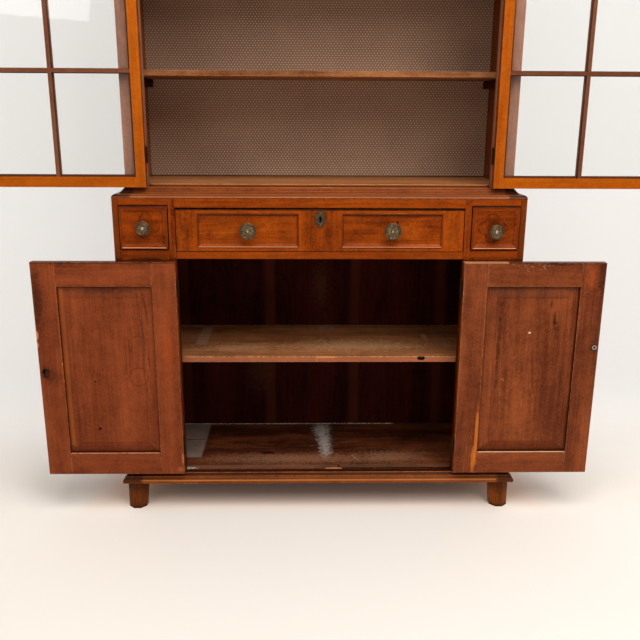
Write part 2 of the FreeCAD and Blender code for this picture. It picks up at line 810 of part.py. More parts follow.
def lower_door(name, side):
    """Two stiles and two rails grooved round a fielded panel."""
    def place(near, far):
        return span(side, half_doorway + near, half_doorway + far)

    inner, outer = s.lower_stile, lower_width - s.lower_stile
    rail_low = lower_door_low + s.lower_bottom_rail
    rail_high = lower_door_high - s.lower_top_rail
    groove = s.panel_tongue + s.panel_play
    groove_y = (tongue_front - s.panel_play, panel_back + s.panel_play)
    members = {
        "hinge_stile": ((0, inner), (lower_door_low, lower_door_high)),
        "lock_stile": ((outer, lower_width), (lower_door_low, lower_door_high)),
        "bottom_rail": ((inner, outer), (lower_door_low, rail_low)),
        "top_rail": ((inner, outer), (rail_high, lower_door_high)),
    }
    grooves = {
        "hinge_stile": ((inner - groove, inner + s.overrun), (rail_low - groove, rail_high + groove)),
        "lock_stile": ((outer - s.overrun, outer + groove), (rail_low - groove, rail_high + groove)),
        "bottom_rail": ((inner - s.overrun, outer + s.overrun), (rail_low - groove, rail_low + s.overrun)),
        "top_rail": ((inner - s.overrun, outer + s.overrun), (rail_high - s.overrun, rail_high + groove)),
    }
    pieces = {}
    for member, (across, upward) in members.items():
        low, high = place(*across)
        piece = board(f"lower_{name}_{member}", (low, lower_in, upward[0]), (high, lower_out, upward[1]))
        across, upward = grooves[member]
        low, high = place(*across)
        block(piece, (low, groove_y[0], upward[0]), (high, groove_y[1], upward[1]), "Subtractive")
        pieces[member] = piece
    cut_leaf_seats(pieces["hinge_stile"], side, half_doorway,
                   front - s.hinge_proud - s.leaf_depth - s.leaf_play, lower_out + s.overrun,
                   lower_hinges, s.lower_leaf_height)
    if side < 0:
        x = -(half_doorway + lower_width - s.stile_keyhole_inset)
        keyhole(pieces["lock_stile"], x, door_middle, lower_in - s.overrun, lower_out + s.overrun)

    panel = new_body(f"lower_{name}_door_panel")
    tongue = s.panel_tongue
    low, high = place(inner - tongue, outer + tongue)
    block(panel, (low, tongue_front, rail_low - tongue), (high, panel_back, rail_high + tongue))
    shy = s.panel_play
    low, high = place(inner + shy, outer - shy)
    edge = s.panel_bevel
    wedge(panel, panel_back - s.panel_field_thick, (low + edge, rail_low + edge, high - edge, rail_high - edge),
          tongue_front, (low, rail_low + shy, high, rail_high - shy))
    return list(pieces.values()), panel


for name, side in SIDES:
    members, panel = lower_door(name, side)
    nodes.append(group(f"lower_{name}_door_frame", members))
    nodes.append(panel)

catch = new_body("door_catch_ring")
catch_x = half_doorway + lower_width - s.catch_inset
catch_z = door_middle + s.catch_above_middle
rod(catch, catch_x, lower_in - s.catch_thick, lower_in, catch_z, s.catch_radius)
rod(catch, catch_x, lower_in - s.catch_thick - s.overrun, lower_in + s.overrun, catch_z, s.catch_bore,
    "Subtractive")
nodes.append(catch)


# The glazed doors, opened flat as well

glazed_width = half_upper_doorway - s.hinge_gap - s.meeting_gap / 2
glazed_out = upper_front - s.hinge_proud * 2
glazed_in = glazed_out - s.upper_frame_thick
lip_front = glazed_out - s.glazing_lip
glazed_middle = glazed_width / 2


def glazed_door(name, side):
    """Two stiles and two rails rebated for glass, an upright bar, cross bars and six panes."""
    def place(near, far):
        return span(side, half_upper_doorway + near, half_upper_doorway + far)

    inner, outer = s.glazed_stile, glazed_width - s.glazed_stile
    rebate = s.glazing_rebate
    members = {
        "hinge_stile": ((0, inner), (glazed_door_low, glazed_door_high)),
        "meeting_stile": ((outer, glazed_width), (glazed_door_low, glazed_door_high)),
        "bottom_rail": ((inner, outer), (glazed_door_low, sight_low)),
        "top_rail": ((inner, outer), (sight_high, glazed_door_high)),
    }
    rebates = {
        "hinge_stile": ((inner - rebate, inner + s.overrun), (sight_low - rebate, sight_high + rebate)),
        "meeting_stile": ((outer - s.overrun, outer + rebate), (sight_low - rebate, sight_high + rebate)),
        "bottom_rail": ((inner - s.overrun, outer + s.overrun), (sight_low - rebate, sight_low + s.overrun)),
        "top_rail": ((inner - s.overrun, outer + s.overrun), (sight_high - s.overrun, sight_high + rebate)),
    }
    frame = {}
    for member, (across, upward) in members.items():
        low, high = place(*across)
        piece = board(f"glazed_{name}_{member}", (low, glazed_in, upward[0]), (high, glazed_out, upward[1]))
        across, upward = rebates[member]
        low, high = place(*across)
        block(piece, (low, glazed_in - s.overrun, upward[0]), (high, lip_front, upward[1]), "Subtractive")
        frame[member] = piece
    cut_leaf_seats(frame["hinge_stile"], side, half_upper_doorway,
                   upper_front - s.hinge_proud - s.leaf_depth - s.leaf_play, glazed_out + s.overrun,
                   upper_hinges, s.upper_leaf_height)

    half_bar, half_fin = s.bar_width / 2, s.bar_fin / 2
    bars = []

    def bar(label, across, upward, fin_across, fin_upward):
        body = new_body(label)
        low, high = place(*across)
        block(body, (low, lip_front, upward[0]), (high, glazed_out, upward[1]))
        low, high = place(*fin_across)
        block(body, (low, glazed_in, fin_upward[0]), (high, lip_front, fin_upward[1]))
        bars.append(body)

    bar(f"glazed_{name}_upright_bar", (glazed_middle - half_bar, glazed_middle + half_bar),
        (sight_low, sight_high), (glazed_middle - half_fin, glazed_middle + half_fin),
        (sight_low - rebate, sight_high + rebate))
    for row, foot in enumerate(bar_feet, start=1):
        fin_foot = foot + half_bar - half_fin
        for place_name, start, end, fin_start, fin_end in (
                ("near", inner, glazed_middle - half_bar, inner - rebate, glazed_middle - half_fin),
                ("far", glazed_middle + half_bar, outer, glazed_middle + half_fin, outer + rebate)):
            bar(f"glazed_{name}_cross_bar_{place_name}_{row}", (start, end), (foot, foot + s.bar_width),
                (fin_start, fin_end), (fin_foot, fin_foot + s.bar_fin))

    under_frame = rebate - s.pane_play
    under_bar = half_bar - half_fin - s.pane_play
    columns = [(inner - under_frame, glazed_middle - half_bar + under_bar),
               (glazed_middle + half_bar - under_bar, outer + under_frame)]
    panes = []
    for row in range(PANE_ROWS):
        foot = sight_low + (pane_height + s.bar_width) * row
        top = foot + pane_height
        foot = foot - (under_frame if row == 0 else under_bar)
        top = top + (under_frame if row == PANE_ROWS - 1 else under_bar)
        for column, (near, far) in enumerate(columns, start=1):
            pane = new_body(f"pane_{name}_{row + 1}_{column}")
            low, high = place(near, far)
            block(pane, (low, lip_front - s.pane_thick, foot), (high, lip_front, top))
            panes.append(pane)
    return list(frame.values()), bars, panes


for name, side in SIDES:
    frame, bars, panes = glazed_door(name, side)
    nodes.append(group(f"upper_{name}_door_frame", frame))
    nodes.append(group(f"upper_{name}_glazing_bars", bars))
    nodes.append(group(f"upper_{name}_panes", panes))


# The knobs: turned, dished in the face, with a stem through the drawer front and a nut behind it

def knob(label, x, y, z, radius, front_behind):
    """A knob and its nut. The knob's foot sits at y, and front_behind is the back of the wood."""
    body = new_body(label)
    reach, rim = s.knob_reach, s.knob_rim_thick
    stem_end = front_behind - y + s.stem_past
    dish = radius - rim
    lip = rim * KNOB_ROUND_SHARE
    floor = s.knob_dish - reach
    boss_edge = s.knob_boss * KNOB_BOSS_SHARE
    profile = [(0, stem_end), (s.stem_radius, stem_end), (s.stem_radius, 0), (s.knob_foot, 0),
               (s.knob_foot, -s.knob_foot_thick), (s.knob_neck, -(s.knob_foot_thick * 2)),
               (s.knob_neck, -(reach / 2)), (radius, rim - reach), (radius, lip - reach),
               (radius - lip, -reach), (dish, -reach), (dish - lip, floor), (s.knob_boss + lip, floor),
               (s.knob_boss, floor - s.knob_boss_height), (boss_edge, floor - s.knob_boss_height * 2),
               (0, floor - s.knob_boss_height * 2)]
    sketch = outline(body, "XY_Plane", profile, KNOB_BULGE_SHARES)
    turned = body.newObject("PartDesign::Revolution", f"{body.Name}_turned")
    turned.Profile = sketch
    turned.ReferenceAxis = (sketch, ["V_Axis"])
    for axis, value in zip("xyz", (x, y, z)):
        bind(body, f"Placement.Base.{axis}", value)
    nut = new_body(f"{label}_nut")
    rod(nut, x, front_behind, front_behind + s.nut_thick, z, s.nut_radius)
    rod(nut, x, front_behind - s.overrun, front_behind + s.nut_thick + s.overrun, z,
        s.stem_radius + s.stem_play, "Subtractive")
    return [body, nut]


def drawer_box(label, low_x, high_x, front_behind, foot, top):
    """Two sides, a back and a bottom."""
    side_top = top - s.drawer_side_drop
    end = back_inner - s.drawer_back_gap
    thick = s.drawer_side_thick
    back_face = end - s.drawer_back_thick
    bottom_foot = foot + s.drawer_bottom_rise
    bottom_top = bottom_foot + s.drawer_bottom_thick
    pieces = [
        board(f"{label}_side_left", (low_x, front_behind, foot), (low_x + thick, end, side_top)),
        board(f"{label}_side_right", (high_x - thick, front_behind, foot), (high_x, end, side_top)),
        board(f"{label}_back", (low_x + thick, back_face, bottom_top), (high_x - thick, end, side_top)),
        board(f"{label}_bottom", (low_x + thick, front_behind, bottom_foot), (high_x - thick, end, bottom_top)),
    ]
    return group(label, pieces)


# The wide drawer: two sunk panels between three stiles, a lock in the middle and a knob in each panel

wide_half = half_doorway - s.drawer_side_gap
wide_low = wide_foot + s.drawer_foot_gap
wide_high = wide_top - s.wide_top_gap
wide_behind = front + s.wide_front_thick
wide_panel_z = (wide_low + s.wide_edge_rail, wide_high - s.wide_edge_rail)
wide_panel_x = (s.wide_middle_stile / 2, wide_half - s.wide_end_stile)
wide_knob_x = (wide_panel_x[0] + wide_panel_x[1]) / 2
wide_knob_z = (wide_panel_z[0] + wide_panel_z[1]) / 2
wide_floor = front + s.wide_panel_sink
slope = s.moulding_slope


def sink_panel(body, x_low, x_high, z_range, face, floor):
    """Sink a panel with sloping sides into a drawer front."""
    z_low, z_high = z_range
    wedge(body, face, (x_low, z_low, x_high, z_high), floor,
          (x_low + slope, z_low + slope, x_high - slope, z_high - slope), "Subtractive")


wide_front = board("wide_drawer_front", (-wide_half, front, wide_low), (wide_half, wide_behind, wide_high))
for name, side in SIDES:
    low, high = span(side, *wide_panel_x)
    sink_panel(wide_front, low, high, wide_panel_z, front, wide_floor)
    rod(wide_front, wide_knob_x * side, front - s.overrun, wide_behind + s.overrun, wide_knob_z,
        s.stem_radius + s.stem_play, "Subtractive")
half_lock = s.lock_width / 2
lock_foot = wide_high - s.lock_height
plate_z = wide_high - s.plate_below_edge
block(wide_front, (-half_lock - s.lock_play, lock_front - s.lock_play, lock_foot - s.lock_play),
      (half_lock + s.lock_play, wide_behind + s.overrun, wide_high + s.overrun), "Subtractive")
keyhole(wide_front, length(0), plate_z, front - s.overrun, lock_front + s.overrun)
nodes.append(wide_front)
nodes.append(drawer_box("wide_drawer_box", -wide_half, wide_half, wide_behind, wide_foot + s.slide_gap,
                        wide_high))
wide_knobs = []
for name, side in SIDES:
    wide_knobs += knob(f"wide_knob_{name}", wide_knob_x * side, wide_floor, wide_knob_z,
                       s.wide_knob_radius, wide_behind)
nodes.append(group("wide_drawer_knobs", wide_knobs))

plate = new_body("keyhole_plate")
full_thick = s.plate_thick + s.plate_rim_thick

def oval(body, half_width, half_height, y):
    """A pointed oval upright plate outline round the keyhole, at depth y."""
    corners = [(half_width, plate_z), (0, plate_z + half_height), (-half_width, plate_z),
               (0, plate_z - half_height)]
    rounds = {number: -OVAL_BULGE_SHARE for number in range(len(corners))}
    return outline(body, "XZ_Plane", corners, rounds, z_offset=-y)


pad(plate, oval(plate, s.plate_width / 2, s.plate_height / 2, front), full_thick)
dish_cut = plate.newObject("PartDesign::Pocket", "plate_dish")
dish_cut.Profile = oval(plate, s.plate_width / 2 - s.plate_rim, s.plate_height / 2 - s.plate_rim,
                        front - full_thick)
bind(dish_cut, "Length", s.plate_rim_thick)
keyhole(plate, length(0), plate_z, front - s.overrun, front + s.overrun)
nodes.append(plate)

lock = new_body("drawer_lock")
block(lock, (-half_lock, lock_front, lock_foot), (half_lock, wide_behind, wide_high - s.bolt_shy))
half_bolt = s.bolt_width / 2
bolt_top = wide_high - s.bolt_shy
bolt_foot = bolt_top - s.bolt_height
block(lock, (-half_bolt - s.bolt_play, bolt_front - s.bolt_play, bolt_foot - s.bolt_play),
      (half_bolt + s.bolt_play, bolt_front + s.bolt_thick + s.bolt_play, wide_high + s.overrun), "Subtractive")
keyhole(lock, length(0), plate_z, lock_front - s.overrun, lock_front + s.overrun)
nodes.append(lock)
nodes.append(board("lock_bolt", (-half_bolt, bolt_front, bolt_foot),
                   (half_bolt, bolt_front + s.bolt_thick, bolt_top)))


# The small drawers: a raised bead round a sunk panel, with one knob

small_low = small_foot + s.drawer_foot_gap
small_high = small_top - s.small_top_gap
small_face = front - s.small_front_proud
small_behind = small_face + s.small_front_thick
small_floor = small_face + s.small_panel_sink
small_near = post_outer + s.drawer_side_gap
small_far = half_inside - s.drawer_side_gap
for name, side in SIDES:
    low, high = span(side, small_near, small_far)
    middle_x = (low + high) / 2
    middle_z = (small_low + small_high) / 2
    if side > 0:
        middle_z = middle_z - s.right_knob_drop
    small_front = board(f"{name}_drawer_front", (low, small_face, small_low), (high, small_behind, small_high))
    sink_panel(small_front, low + s.small_bead, high - s.small_bead,
               (small_low + s.small_bead, small_high - s.small_bead), small_face, small_floor)
    rod(small_front, middle_x, small_face - s.overrun, small_behind + s.overrun, middle_z,
        s.stem_radius + s.stem_play, "Subtractive")
    nodes.append(small_front)
    nodes.append(drawer_box(f"{name}_drawer_box", low, high, small_behind, small_foot + s.slide_gap,
                            small_high))
    nodes.append(group(f"{name}_drawer_knob", knob(f"small_knob_{name}", middle_x, small_floor, middle_z,
                                                   s.small_knob_radius, small_behind)))


# Check everything, then write one file for each piece

doc.recompute()
failed = [obj.Label for obj in doc.Objects if "Invalid" in obj.State or "Error" in obj.State]
if failed:
    raise RuntimeError(f"these did not build: {failed}")
for node in nodes:
    if node.Shape.isNull() or not node.Shape.isValid():
        raise RuntimeError(f"{node.Label} has no sound shape")

os.makedirs("parts", exist_ok=True)
for node in nodes:
    node.Shape.exportStep(os.path.join("parts", f"{node.Label}.step"))
    box = node.Shape.BoundBox
    print(f"{node.Label}: {len(node.Shape.Solids)} solids, X {box.XMin:.1f} to {box.XMax:.1f}, "
          f"Y {box.YMin:.1f} to {box.YMax:.1f}, Z {box.ZMin:.1f} to {box.ZMax:.1f}")
print(f"{len(nodes)} pieces written")
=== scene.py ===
# %% [markdown]
# # A glazed press over drawers and a cupboard
# This is an old mahogany press in two parts. The lower part has three drawers over a cupboard, and
# the upper part is a glazed case lined with dotted paper. It stands on four small canted feet. All
# four doors are swung right back, so their insides face us. The solids come from a drawing program
# with every board as its own piece, so this lesson keeps their shapes and gives them their finishes,
# and adds what is too fine for a solid: turned rings, beads, screws, nails, wear and stains.

# %% Load the solids
import math
import random
from dataclasses import dataclass, replace
from itertools import product

import bpy
import bmesh
from mathutils import Matrix, Vector


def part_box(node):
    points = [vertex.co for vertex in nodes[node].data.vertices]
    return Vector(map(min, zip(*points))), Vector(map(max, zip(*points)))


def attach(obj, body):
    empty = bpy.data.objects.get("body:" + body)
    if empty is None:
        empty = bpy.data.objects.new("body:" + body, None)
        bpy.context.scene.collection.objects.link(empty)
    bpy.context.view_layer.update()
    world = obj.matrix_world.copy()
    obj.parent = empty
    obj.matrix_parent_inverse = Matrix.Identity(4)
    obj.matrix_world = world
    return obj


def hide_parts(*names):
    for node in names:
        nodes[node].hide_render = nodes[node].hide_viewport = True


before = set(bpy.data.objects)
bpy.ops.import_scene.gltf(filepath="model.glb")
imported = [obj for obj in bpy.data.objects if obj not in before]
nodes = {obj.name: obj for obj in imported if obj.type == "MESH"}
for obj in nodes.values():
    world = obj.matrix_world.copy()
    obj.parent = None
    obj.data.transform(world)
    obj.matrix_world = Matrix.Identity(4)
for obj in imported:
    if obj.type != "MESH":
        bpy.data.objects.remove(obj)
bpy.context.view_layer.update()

MM = 0.001


def add_object(name, data):
    made = bpy.data.objects.new(name, data)
    bpy.context.scene.collection.objects.link(made)
    return made


# %% [markdown]
# ## The camera
# The camera comes first, because every later step is judged through it. Its place and lens were
# worked out by matching known corners of the press, such as the ends of the drawer openings, with
# where they fall in the photograph. It stands a little left of the middle, at chest height, and looks
# slightly down, which is why the open doors seem to lean outwards.

# %% Set up the camera
CAMERA_PLACE = Vector((-0.0442, -2.3965, 1.2360))
CAMERA_TURN = math.radians(1.157)
CAMERA_DOWN = math.radians(15.289)
CAMERA_ROLL = math.radians(0.299)
LENS_MM, SENSOR_MM = 42.156, 36

forward = Vector((math.sin(CAMERA_TURN) * math.cos(CAMERA_DOWN),
                  math.cos(CAMERA_TURN) * math.cos(CAMERA_DOWN), -math.sin(CAMERA_DOWN)))
level_right = Vector((math.cos(CAMERA_TURN), -math.sin(CAMERA_TURN), 0))
level_up = level_right.cross(forward)
right = level_right * math.cos(CAMERA_ROLL) + level_up * math.sin(CAMERA_ROLL)
up = right.cross(forward)

camera_data = bpy.data.cameras.new("camera")
camera_data.lens = LENS_MM
camera_data.sensor_width = SENSOR_MM
camera_data.sensor_fit = "HORIZONTAL"
camera = add_object("camera", camera_data)
camera.matrix_world = Matrix((right, up, -forward)).transposed().to_4x4()
camera.location = CAMERA_PLACE
bpy.context.scene.camera = camera
print(f"camera at {tuple(round(v, 3) for v in CAMERA_PLACE)}, lens {LENS_MM} mm")

# %% [markdown]
# ## A short way to write shader nodes
# A procedural material is a drawing of boxes and wires. Written out in full, each box takes three or
# four lines, so a small helper class keeps the recipes readable: each call adds one node, wires its
# inputs and gives back the output that the next node needs.

# %% The node helper
def srgb(red, green, blue):
    """A colour as read from a picture (0 to 255) turned into the linear values that shaders use."""
    def linear(value):
        value = value / 255
        return value / 12.92 if value <= 0.04045 else ((value + 0.055) / 1.055) ** 2.4
    return (linear(red), linear(green), linear(blue), 1.0)


class Wires:
    """Adds nodes to one tree and joins them up."""

    def __init__(self, tree):
        self.tree = tree

    def put(self, socket, value):
        if isinstance(value, bpy.types.NodeSocket):
            self.tree.links.new(value, socket)
        elif value is not None:
            socket.default_value = value

    def fill(self, node, inputs):
        """Each input is known by its name or its number, and gets a wire or a plain value."""
        for name, value in inputs.items():
            self.put(node.inputs[name], value)

    def node(self, kind, inputs=None, **settings):
        made = self.tree.nodes.new(kind)
        for name, value in settings.items():
            setattr(made, name, value)
        self.fill(made, inputs or {})
        return made

    def math(self, operation, *values, clamp=False):
        made = self.node("ShaderNodeMath", dict(enumerate(values)), operation=operation, use_clamp=clamp)
        return made.outputs[0]

    def plus(self, *values, clamp=False):
        return self.math("ADD", *values, clamp=clamp)

    def minus(self, *values):
        return self.math("SUBTRACT", *values)

    def times(self, *values, clamp=False):
        return self.math("MULTIPLY", *values, clamp=clamp)

    def vector(self, operation, *values):
        made = self.node("ShaderNodeVectorMath", dict(enumerate(values)), operation=operation)
        return made.outputs["Value" if operation in ("LENGTH", "DOT_PRODUCT") else "Vector"]

    def scaled(self, vector, factor):
        return self.node("ShaderNodeVectorMath", {0: vector, "Scale": factor}, operation="SCALE").outputs[0]

    def split(self, vector):
        made = self.node("ShaderNodeSeparateXYZ", {"Vector": vector})
        return made.outputs[0], made.outputs[1], made.outputs[2]

    def join(self, x, y, z):
        return self.node("ShaderNodeCombineXYZ", {"X": x, "Y": y, "Z": z}).outputs[0]

    def step(self, value, low, high, out_low=0.0, out_high=1.0):
        """Slides smoothly from out_low to out_high while value goes from low to high."""
        return self.node("ShaderNodeMapRange", {"Value": value, "From Min": low, "From Max": high,
                                                "To Min": out_low, "To Max": out_high},
                         interpolation_type="SMOOTHSTEP").outputs[0]

    def noise(self, vector, scale, detail=3.0, rough=0.55, distort=0.0):
        return self.node("ShaderNodeTexNoise", {"Vector": vector, "Scale": scale, "Detail": detail,
                                                "Roughness": rough, "Distortion": distort}).outputs["Fac"]

    def mix(self, share, first, second):
        """A blend of two colours. Blender keeps the sockets for colours at numbers 6 and 7."""
        return self.node("ShaderNodeMix", {0: share, 6: first, 7: second}, data_type="RGBA").outputs[2]

    def mix_vectors(self, share, first, second):
        """A blend of two vectors, which sit at numbers 4 and 5."""
        return self.node("ShaderNodeMix", {0: share, 4: first, 5: second}, data_type="VECTOR").outputs[1]

    def mix_numbers(self, share, first, second):
        return self.node("ShaderNodeMix", {0: share, 2: first, 3: second}, data_type="FLOAT").outputs[0]

    def mix_shaders(self, share, first, second):
        return self.node("ShaderNodeMixShader", {0: share, 1: first, 2: second}).outputs[0]

    def bump(self, strength, depth, height):
        """A bumpy normal. depth in millimetres."""
        return self.node("ShaderNodeBump", {"Strength": strength, "Distance": depth * MM,
                                            "Height": height}).outputs[0]

    def open_air(self, reach):
        """1 in the open and 0 deep in a corner, looking as far as reach, in millimetres."""
        return self.node("ShaderNodeAmbientOcclusion", {"Distance": reach * MM}, samples=8).outputs["AO"]

    def edge_turn(self, radius):
        """How fast the surface turns, which is most along edges. radius in millimetres."""
        rounded = self.node("ShaderNodeBevel", {"Radius": radius * MM}, samples=6).outputs[0]
        surface = self.node("ShaderNodeNewGeometry").outputs["Normal"]
        return self.minus(1.0, self.vector("DOT_PRODUCT", rounded, surface))

    def group(self, tree, inputs):
        made = self.node("ShaderNodeGroup", node_tree=tree)
        self.fill(made, inputs)
        return made.outputs


def new_material(name):
    """A material with its wires, its shader and the outputs that say where each point lies on the press."""
    material = bpy.data.materials.new(name)
    material.use_nodes = True
    w = Wires(material.node_tree)
    return material, w, material.node_tree.nodes["Principled BSDF"], w.node("ShaderNodeTexCoord").outputs


def show(material, surface):
    """Sends another shader than the first one to the output."""
    Wires(material.node_tree).put(material.node_tree.nodes["Material Output"].inputs["Surface"], surface)


NUMBER, ORIGIN, BLACK = 0.0, (0.0, 0.0, 0.0), (0.0, 0.0, 0.0, 1.0)


def new_group(name, inputs, outputs):
    """An empty node group with named sockets, each given by its starting value. One number makes a number
    socket, three a vector and four a colour. Returns it, its wires, its inputs and its outputs node."""
    tree = bpy.data.node_groups.new(name, "ShaderNodeTree")
    for direction, sockets in (("INPUT", inputs), ("OUTPUT", outputs)):
        for label, start in sockets.items():
            count = len(start) if isinstance(start, tuple) else 1
            kind = {1: "NodeSocketFloat", 3: "NodeSocketVector", 4: "NodeSocketColor"}[count]
            tree.interface.new_socket(name=label, in_out=direction, socket_type=kind).default_value = start
    wires = Wires(tree)
    return tree, wires, wires.node("NodeGroupInput").outputs, wires.node("NodeGroupOutput")


print("the grey 128 of a picture is", round(srgb(128, 128, 128)[0], 3), "to a shader")

# %% [markdown]
# ## Wood, built once and tuned many times
# Sawn wood shows three scales at once: broad drifts of colour, growth rings that the saw cuts into
# long flames, and pores, which in mahogany are fine dark dashes along the grain. A picture of wood
# would repeat and would not follow each board. Noise that is stretched along the board does follow
# it, so one group makes all three scales from noise in real metres. Each board gets its own patch of
# the noise through a seed, the way each board came from its own tree.

# %% Node group: turn a place on the press into a place on a board
def make_board_space():
    tree, w, given, out = new_group(
        "Board Space",
        {"Place": ORIGIN, "Lies Across": 0.0, "Runs Back": 0.0, "Seed": 0.0},
        {"Vector": ORIGIN})
    x, y, z = w.split(given["Place"])
    upright = w.join(z, x, y)
    across = w.join(x, z, y)
    backward = w.join(y, x, z)
    turned = w.mix_vectors(given["Lies Across"], upright, across)
    turned = w.mix_vectors(given["Runs Back"], turned, backward)
    shift = w.scaled((3.7, 1.9, 2.3), given["Seed"])
    w.put(out.inputs[0], w.vector("ADD", turned, shift))
    return tree


# %% Node group: the grain itself
def make_grain():
    tree, w, given, out = new_group(
        "Wood Grain",
        {"Vector": ORIGIN, "Light": (0.5, 0.2, 0.05, 1), "Dark": (0.15, 0.05, 0.02, 1),
         "Figure": 0.5, "Rings": 0.5, "Pores": 0.5, "Streaks": 0.3},
        {"Color": BLACK, "Height": NUMBER, "Shade": NUMBER})
    along, side, deep = w.split(given["Vector"])

    def stretched(lengthways, crossways, detail, rough=0.55):
        """Noise that is long along the board: its features are 1/lengthways by 1/crossways metres."""
        return w.noise(w.join(w.times(along, lengthways), w.times(side, crossways),
                              w.times(deep, crossways)), 1.0, detail, rough)

    drift = stretched(1.8, 12.0, 2.0)
    # Growth rings are the contours of one slow noise.
    bands = w.math("FRACT", w.times(stretched(0.9, 6.0, 1.5, 0.4), 24.0))
    ring = w.times(w.step(bands, 0.0, 0.8), w.step(bands, 1.0, 0.88))
    ribbon = stretched(5.0, 150.0, 3.0, 0.6)
    fibre = stretched(40.0, 700.0, 2.0)
    pore = w.step(fibre, 0.60, 0.76)
    streak = w.step(stretched(3.0, 260.0, 1.0), 0.68, 0.78)
    mottle = w.noise(given["Vector"], 26.0, 3.0, 0.6)
    fleck = w.noise(given["Vector"], 210.0, 2.0, 0.6)
    shade = w.plus(w.times(w.step(drift, 0.3, 0.7), given["Figure"]),
                   w.times(ring, w.times(given["Rings"], 0.5)))
    shade = w.plus(shade, w.times(w.step(ribbon, 0.2, 0.8), 0.35))
    shade = w.plus(shade, w.times(w.step(mottle, 0.35, 0.7), 0.2))
    shade = w.plus(shade, w.times(w.minus(w.step(fleck, 0.3, 0.7), 0.5), 0.3))
    shade = w.plus(shade, w.times(pore, w.times(given["Pores"], 0.45)))
    shade = w.plus(shade, w.times(streak, given["Streaks"]), clamp=True)
    w.put(out.inputs["Color"], w.mix(shade, given["Light"], given["Dark"]))
    w.put(out.inputs["Shade"], shade)
    w.put(out.inputs["Height"], w.minus(w.times(fibre, 0.4),
                                       w.times(pore, given["Pores"])))
    return tree


# %% [markdown]
# ## What two hundred years do
# Wax and dirt gather in every corner, and hands rub the colour off the edges. Both are masks: one from
# how shut in a point is, and one from how fast the surface turns there. The near-black darkening in
# shut-in corners is that dirt and painted shade at once. The mask for shut-in corners needs its node
# in the material itself, so this group only takes its value.

# %% Node group: grime and painted shade in the corners and wear on the edges
def make_age():
    tree, w, given, out = new_group(
        "Age",
        {"Color": BLACK, "Openness": 1.0, "Place": ORIGIN, "Grime And Shade": 0.6,
         "Grime Color": (0.012, 0.004, 0.002, 1), "Wear": 0.4,
         "Bare Color": (0.6, 0.3, 0.12, 1), "Blotches": 0.3},
        {"Color": BLACK, "Dirt And Shade": NUMBER, "Bare": NUMBER, "Cloud": NUMBER})
    cloud = w.noise(given["Place"], 6.0, 4.0, 0.6)
    speck = w.noise(given["Place"], 70.0, 3.0, 0.6)
    blotch = w.times(w.step(cloud, 0.46, 0.76), given["Blotches"])
    colour = w.mix(blotch, given["Color"], given["Grime Color"])
    shut = w.minus(1.0, given["Openness"])
    dirt_and_shade = w.times(w.step(w.plus(shut, w.times(speck, 0.25)), 0.2, 0.7),
                  given["Grime And Shade"], clamp=True)
    colour = w.mix(dirt_and_shade, colour, given["Grime Color"])
    rubbed = w.times(w.step(w.edge_turn(3), 0.01, 0.12), w.step(speck, 0.36, 0.62))
    bare = w.times(rubbed, w.times(given["Wear"], w.step(shut, 0.4, 0.15)), clamp=True)
    w.put(out.inputs["Color"], w.mix(bare, colour, given["Bare Color"]))
    w.put(out.inputs["Dirt And Shade"], dirt_and_shade)
    w.put(out.inputs["Bare"], bare)
    w.put(out.inputs["Cloud"], w.step(cloud, 0.3, 0.8))
    return tree


# %% [markdown]
# ## Masks for members, stains and scratches
# Three small groups say where something is. A box picks out one member of a frame. A spot is an egg
# with a ragged rim, for stains, dents and chips and for spots of painted light and shade. A scratch is
# everything within a small distance of a line between two points, which also draws thin painted highlights.
# All of them are measured in metres on the press as photographed, and those
# places ride with each piece, so a mark stays on its door when the door swings.

# %% Node groups: box, spot and scratch
def make_inside_box():
    tree, w, given, out = new_group(
        "Inside Box",
        {"Place": ORIGIN, "Low": ORIGIN, "High": ORIGIN, "Softness": 0.0002},
        {"Mask": NUMBER})
    above = w.vector("SUBTRACT", given["Place"], given["Low"])
    below = w.vector("SUBTRACT", given["High"], given["Place"])
    nearest = None
    for value in (*w.split(above), *w.split(below)):
        nearest = value if nearest is None else w.math("MINIMUM", nearest, value)
    w.put(out.inputs[0], w.step(nearest, w.times(given["Softness"], -1.0), given["Softness"]))
    return tree


def make_spot():
    tree, w, given, out = new_group(
        "Spot", {"Place": ORIGIN, "Centre": ORIGIN, "Radii": (0.01, 0.01, 0.01),
                 "Ragged": 0.5, "Soft": 0.3}, {"Mask": NUMBER})
    offset = w.vector("DIVIDE", w.vector("SUBTRACT", given["Place"], given["Centre"]), given["Radii"])
    jitter = w.times(w.minus(w.noise(given["Place"], 90.0, 4.0, 0.65), 0.5), given["Ragged"])
    reach = w.plus(w.vector("LENGTH", offset), w.times(jitter, 2.0))
    w.put(out.inputs[0], w.step(reach, 1.0, w.minus(1.0, given["Soft"])))
    return tree


def make_scratch():
    tree, w, given, out = new_group(
        "Scratch", {"Place": ORIGIN, "From": ORIGIN, "To": ORIGIN, "Width": 0.001,
                    "Broken": 0.5}, {"Mask": NUMBER})
    line = w.vector("SUBTRACT", given["To"], given["From"])
    offset = w.vector("SUBTRACT", given["Place"], given["From"])
    squared = w.vector("DOT_PRODUCT", line, line)
    share = w.math("DIVIDE", w.vector("DOT_PRODUCT", offset, line), squared, clamp=True)
    nearest = w.vector("ADD", given["From"], w.scaled(line, share))
    away = w.vector("LENGTH", w.vector("SUBTRACT", given["Place"], nearest))
    inside = w.step(away, given["Width"], w.times(given["Width"], 0.4))
    gaps = w.step(w.noise(given["Place"], 120.0, 2.0), w.times(given["Broken"], 0.5),
                  w.times(given["Broken"], 1.1))
    w.put(out.inputs[0], w.times(inside, gaps))
    return tree


BOARD_SPACE, GRAIN, AGE = make_board_space(), make_grain(), make_age()
INSIDE_BOX, SPOT, SCRATCH = make_inside_box(), make_spot(), make_scratch()
print("groups:", [group.name for group in bpy.data.node_groups])


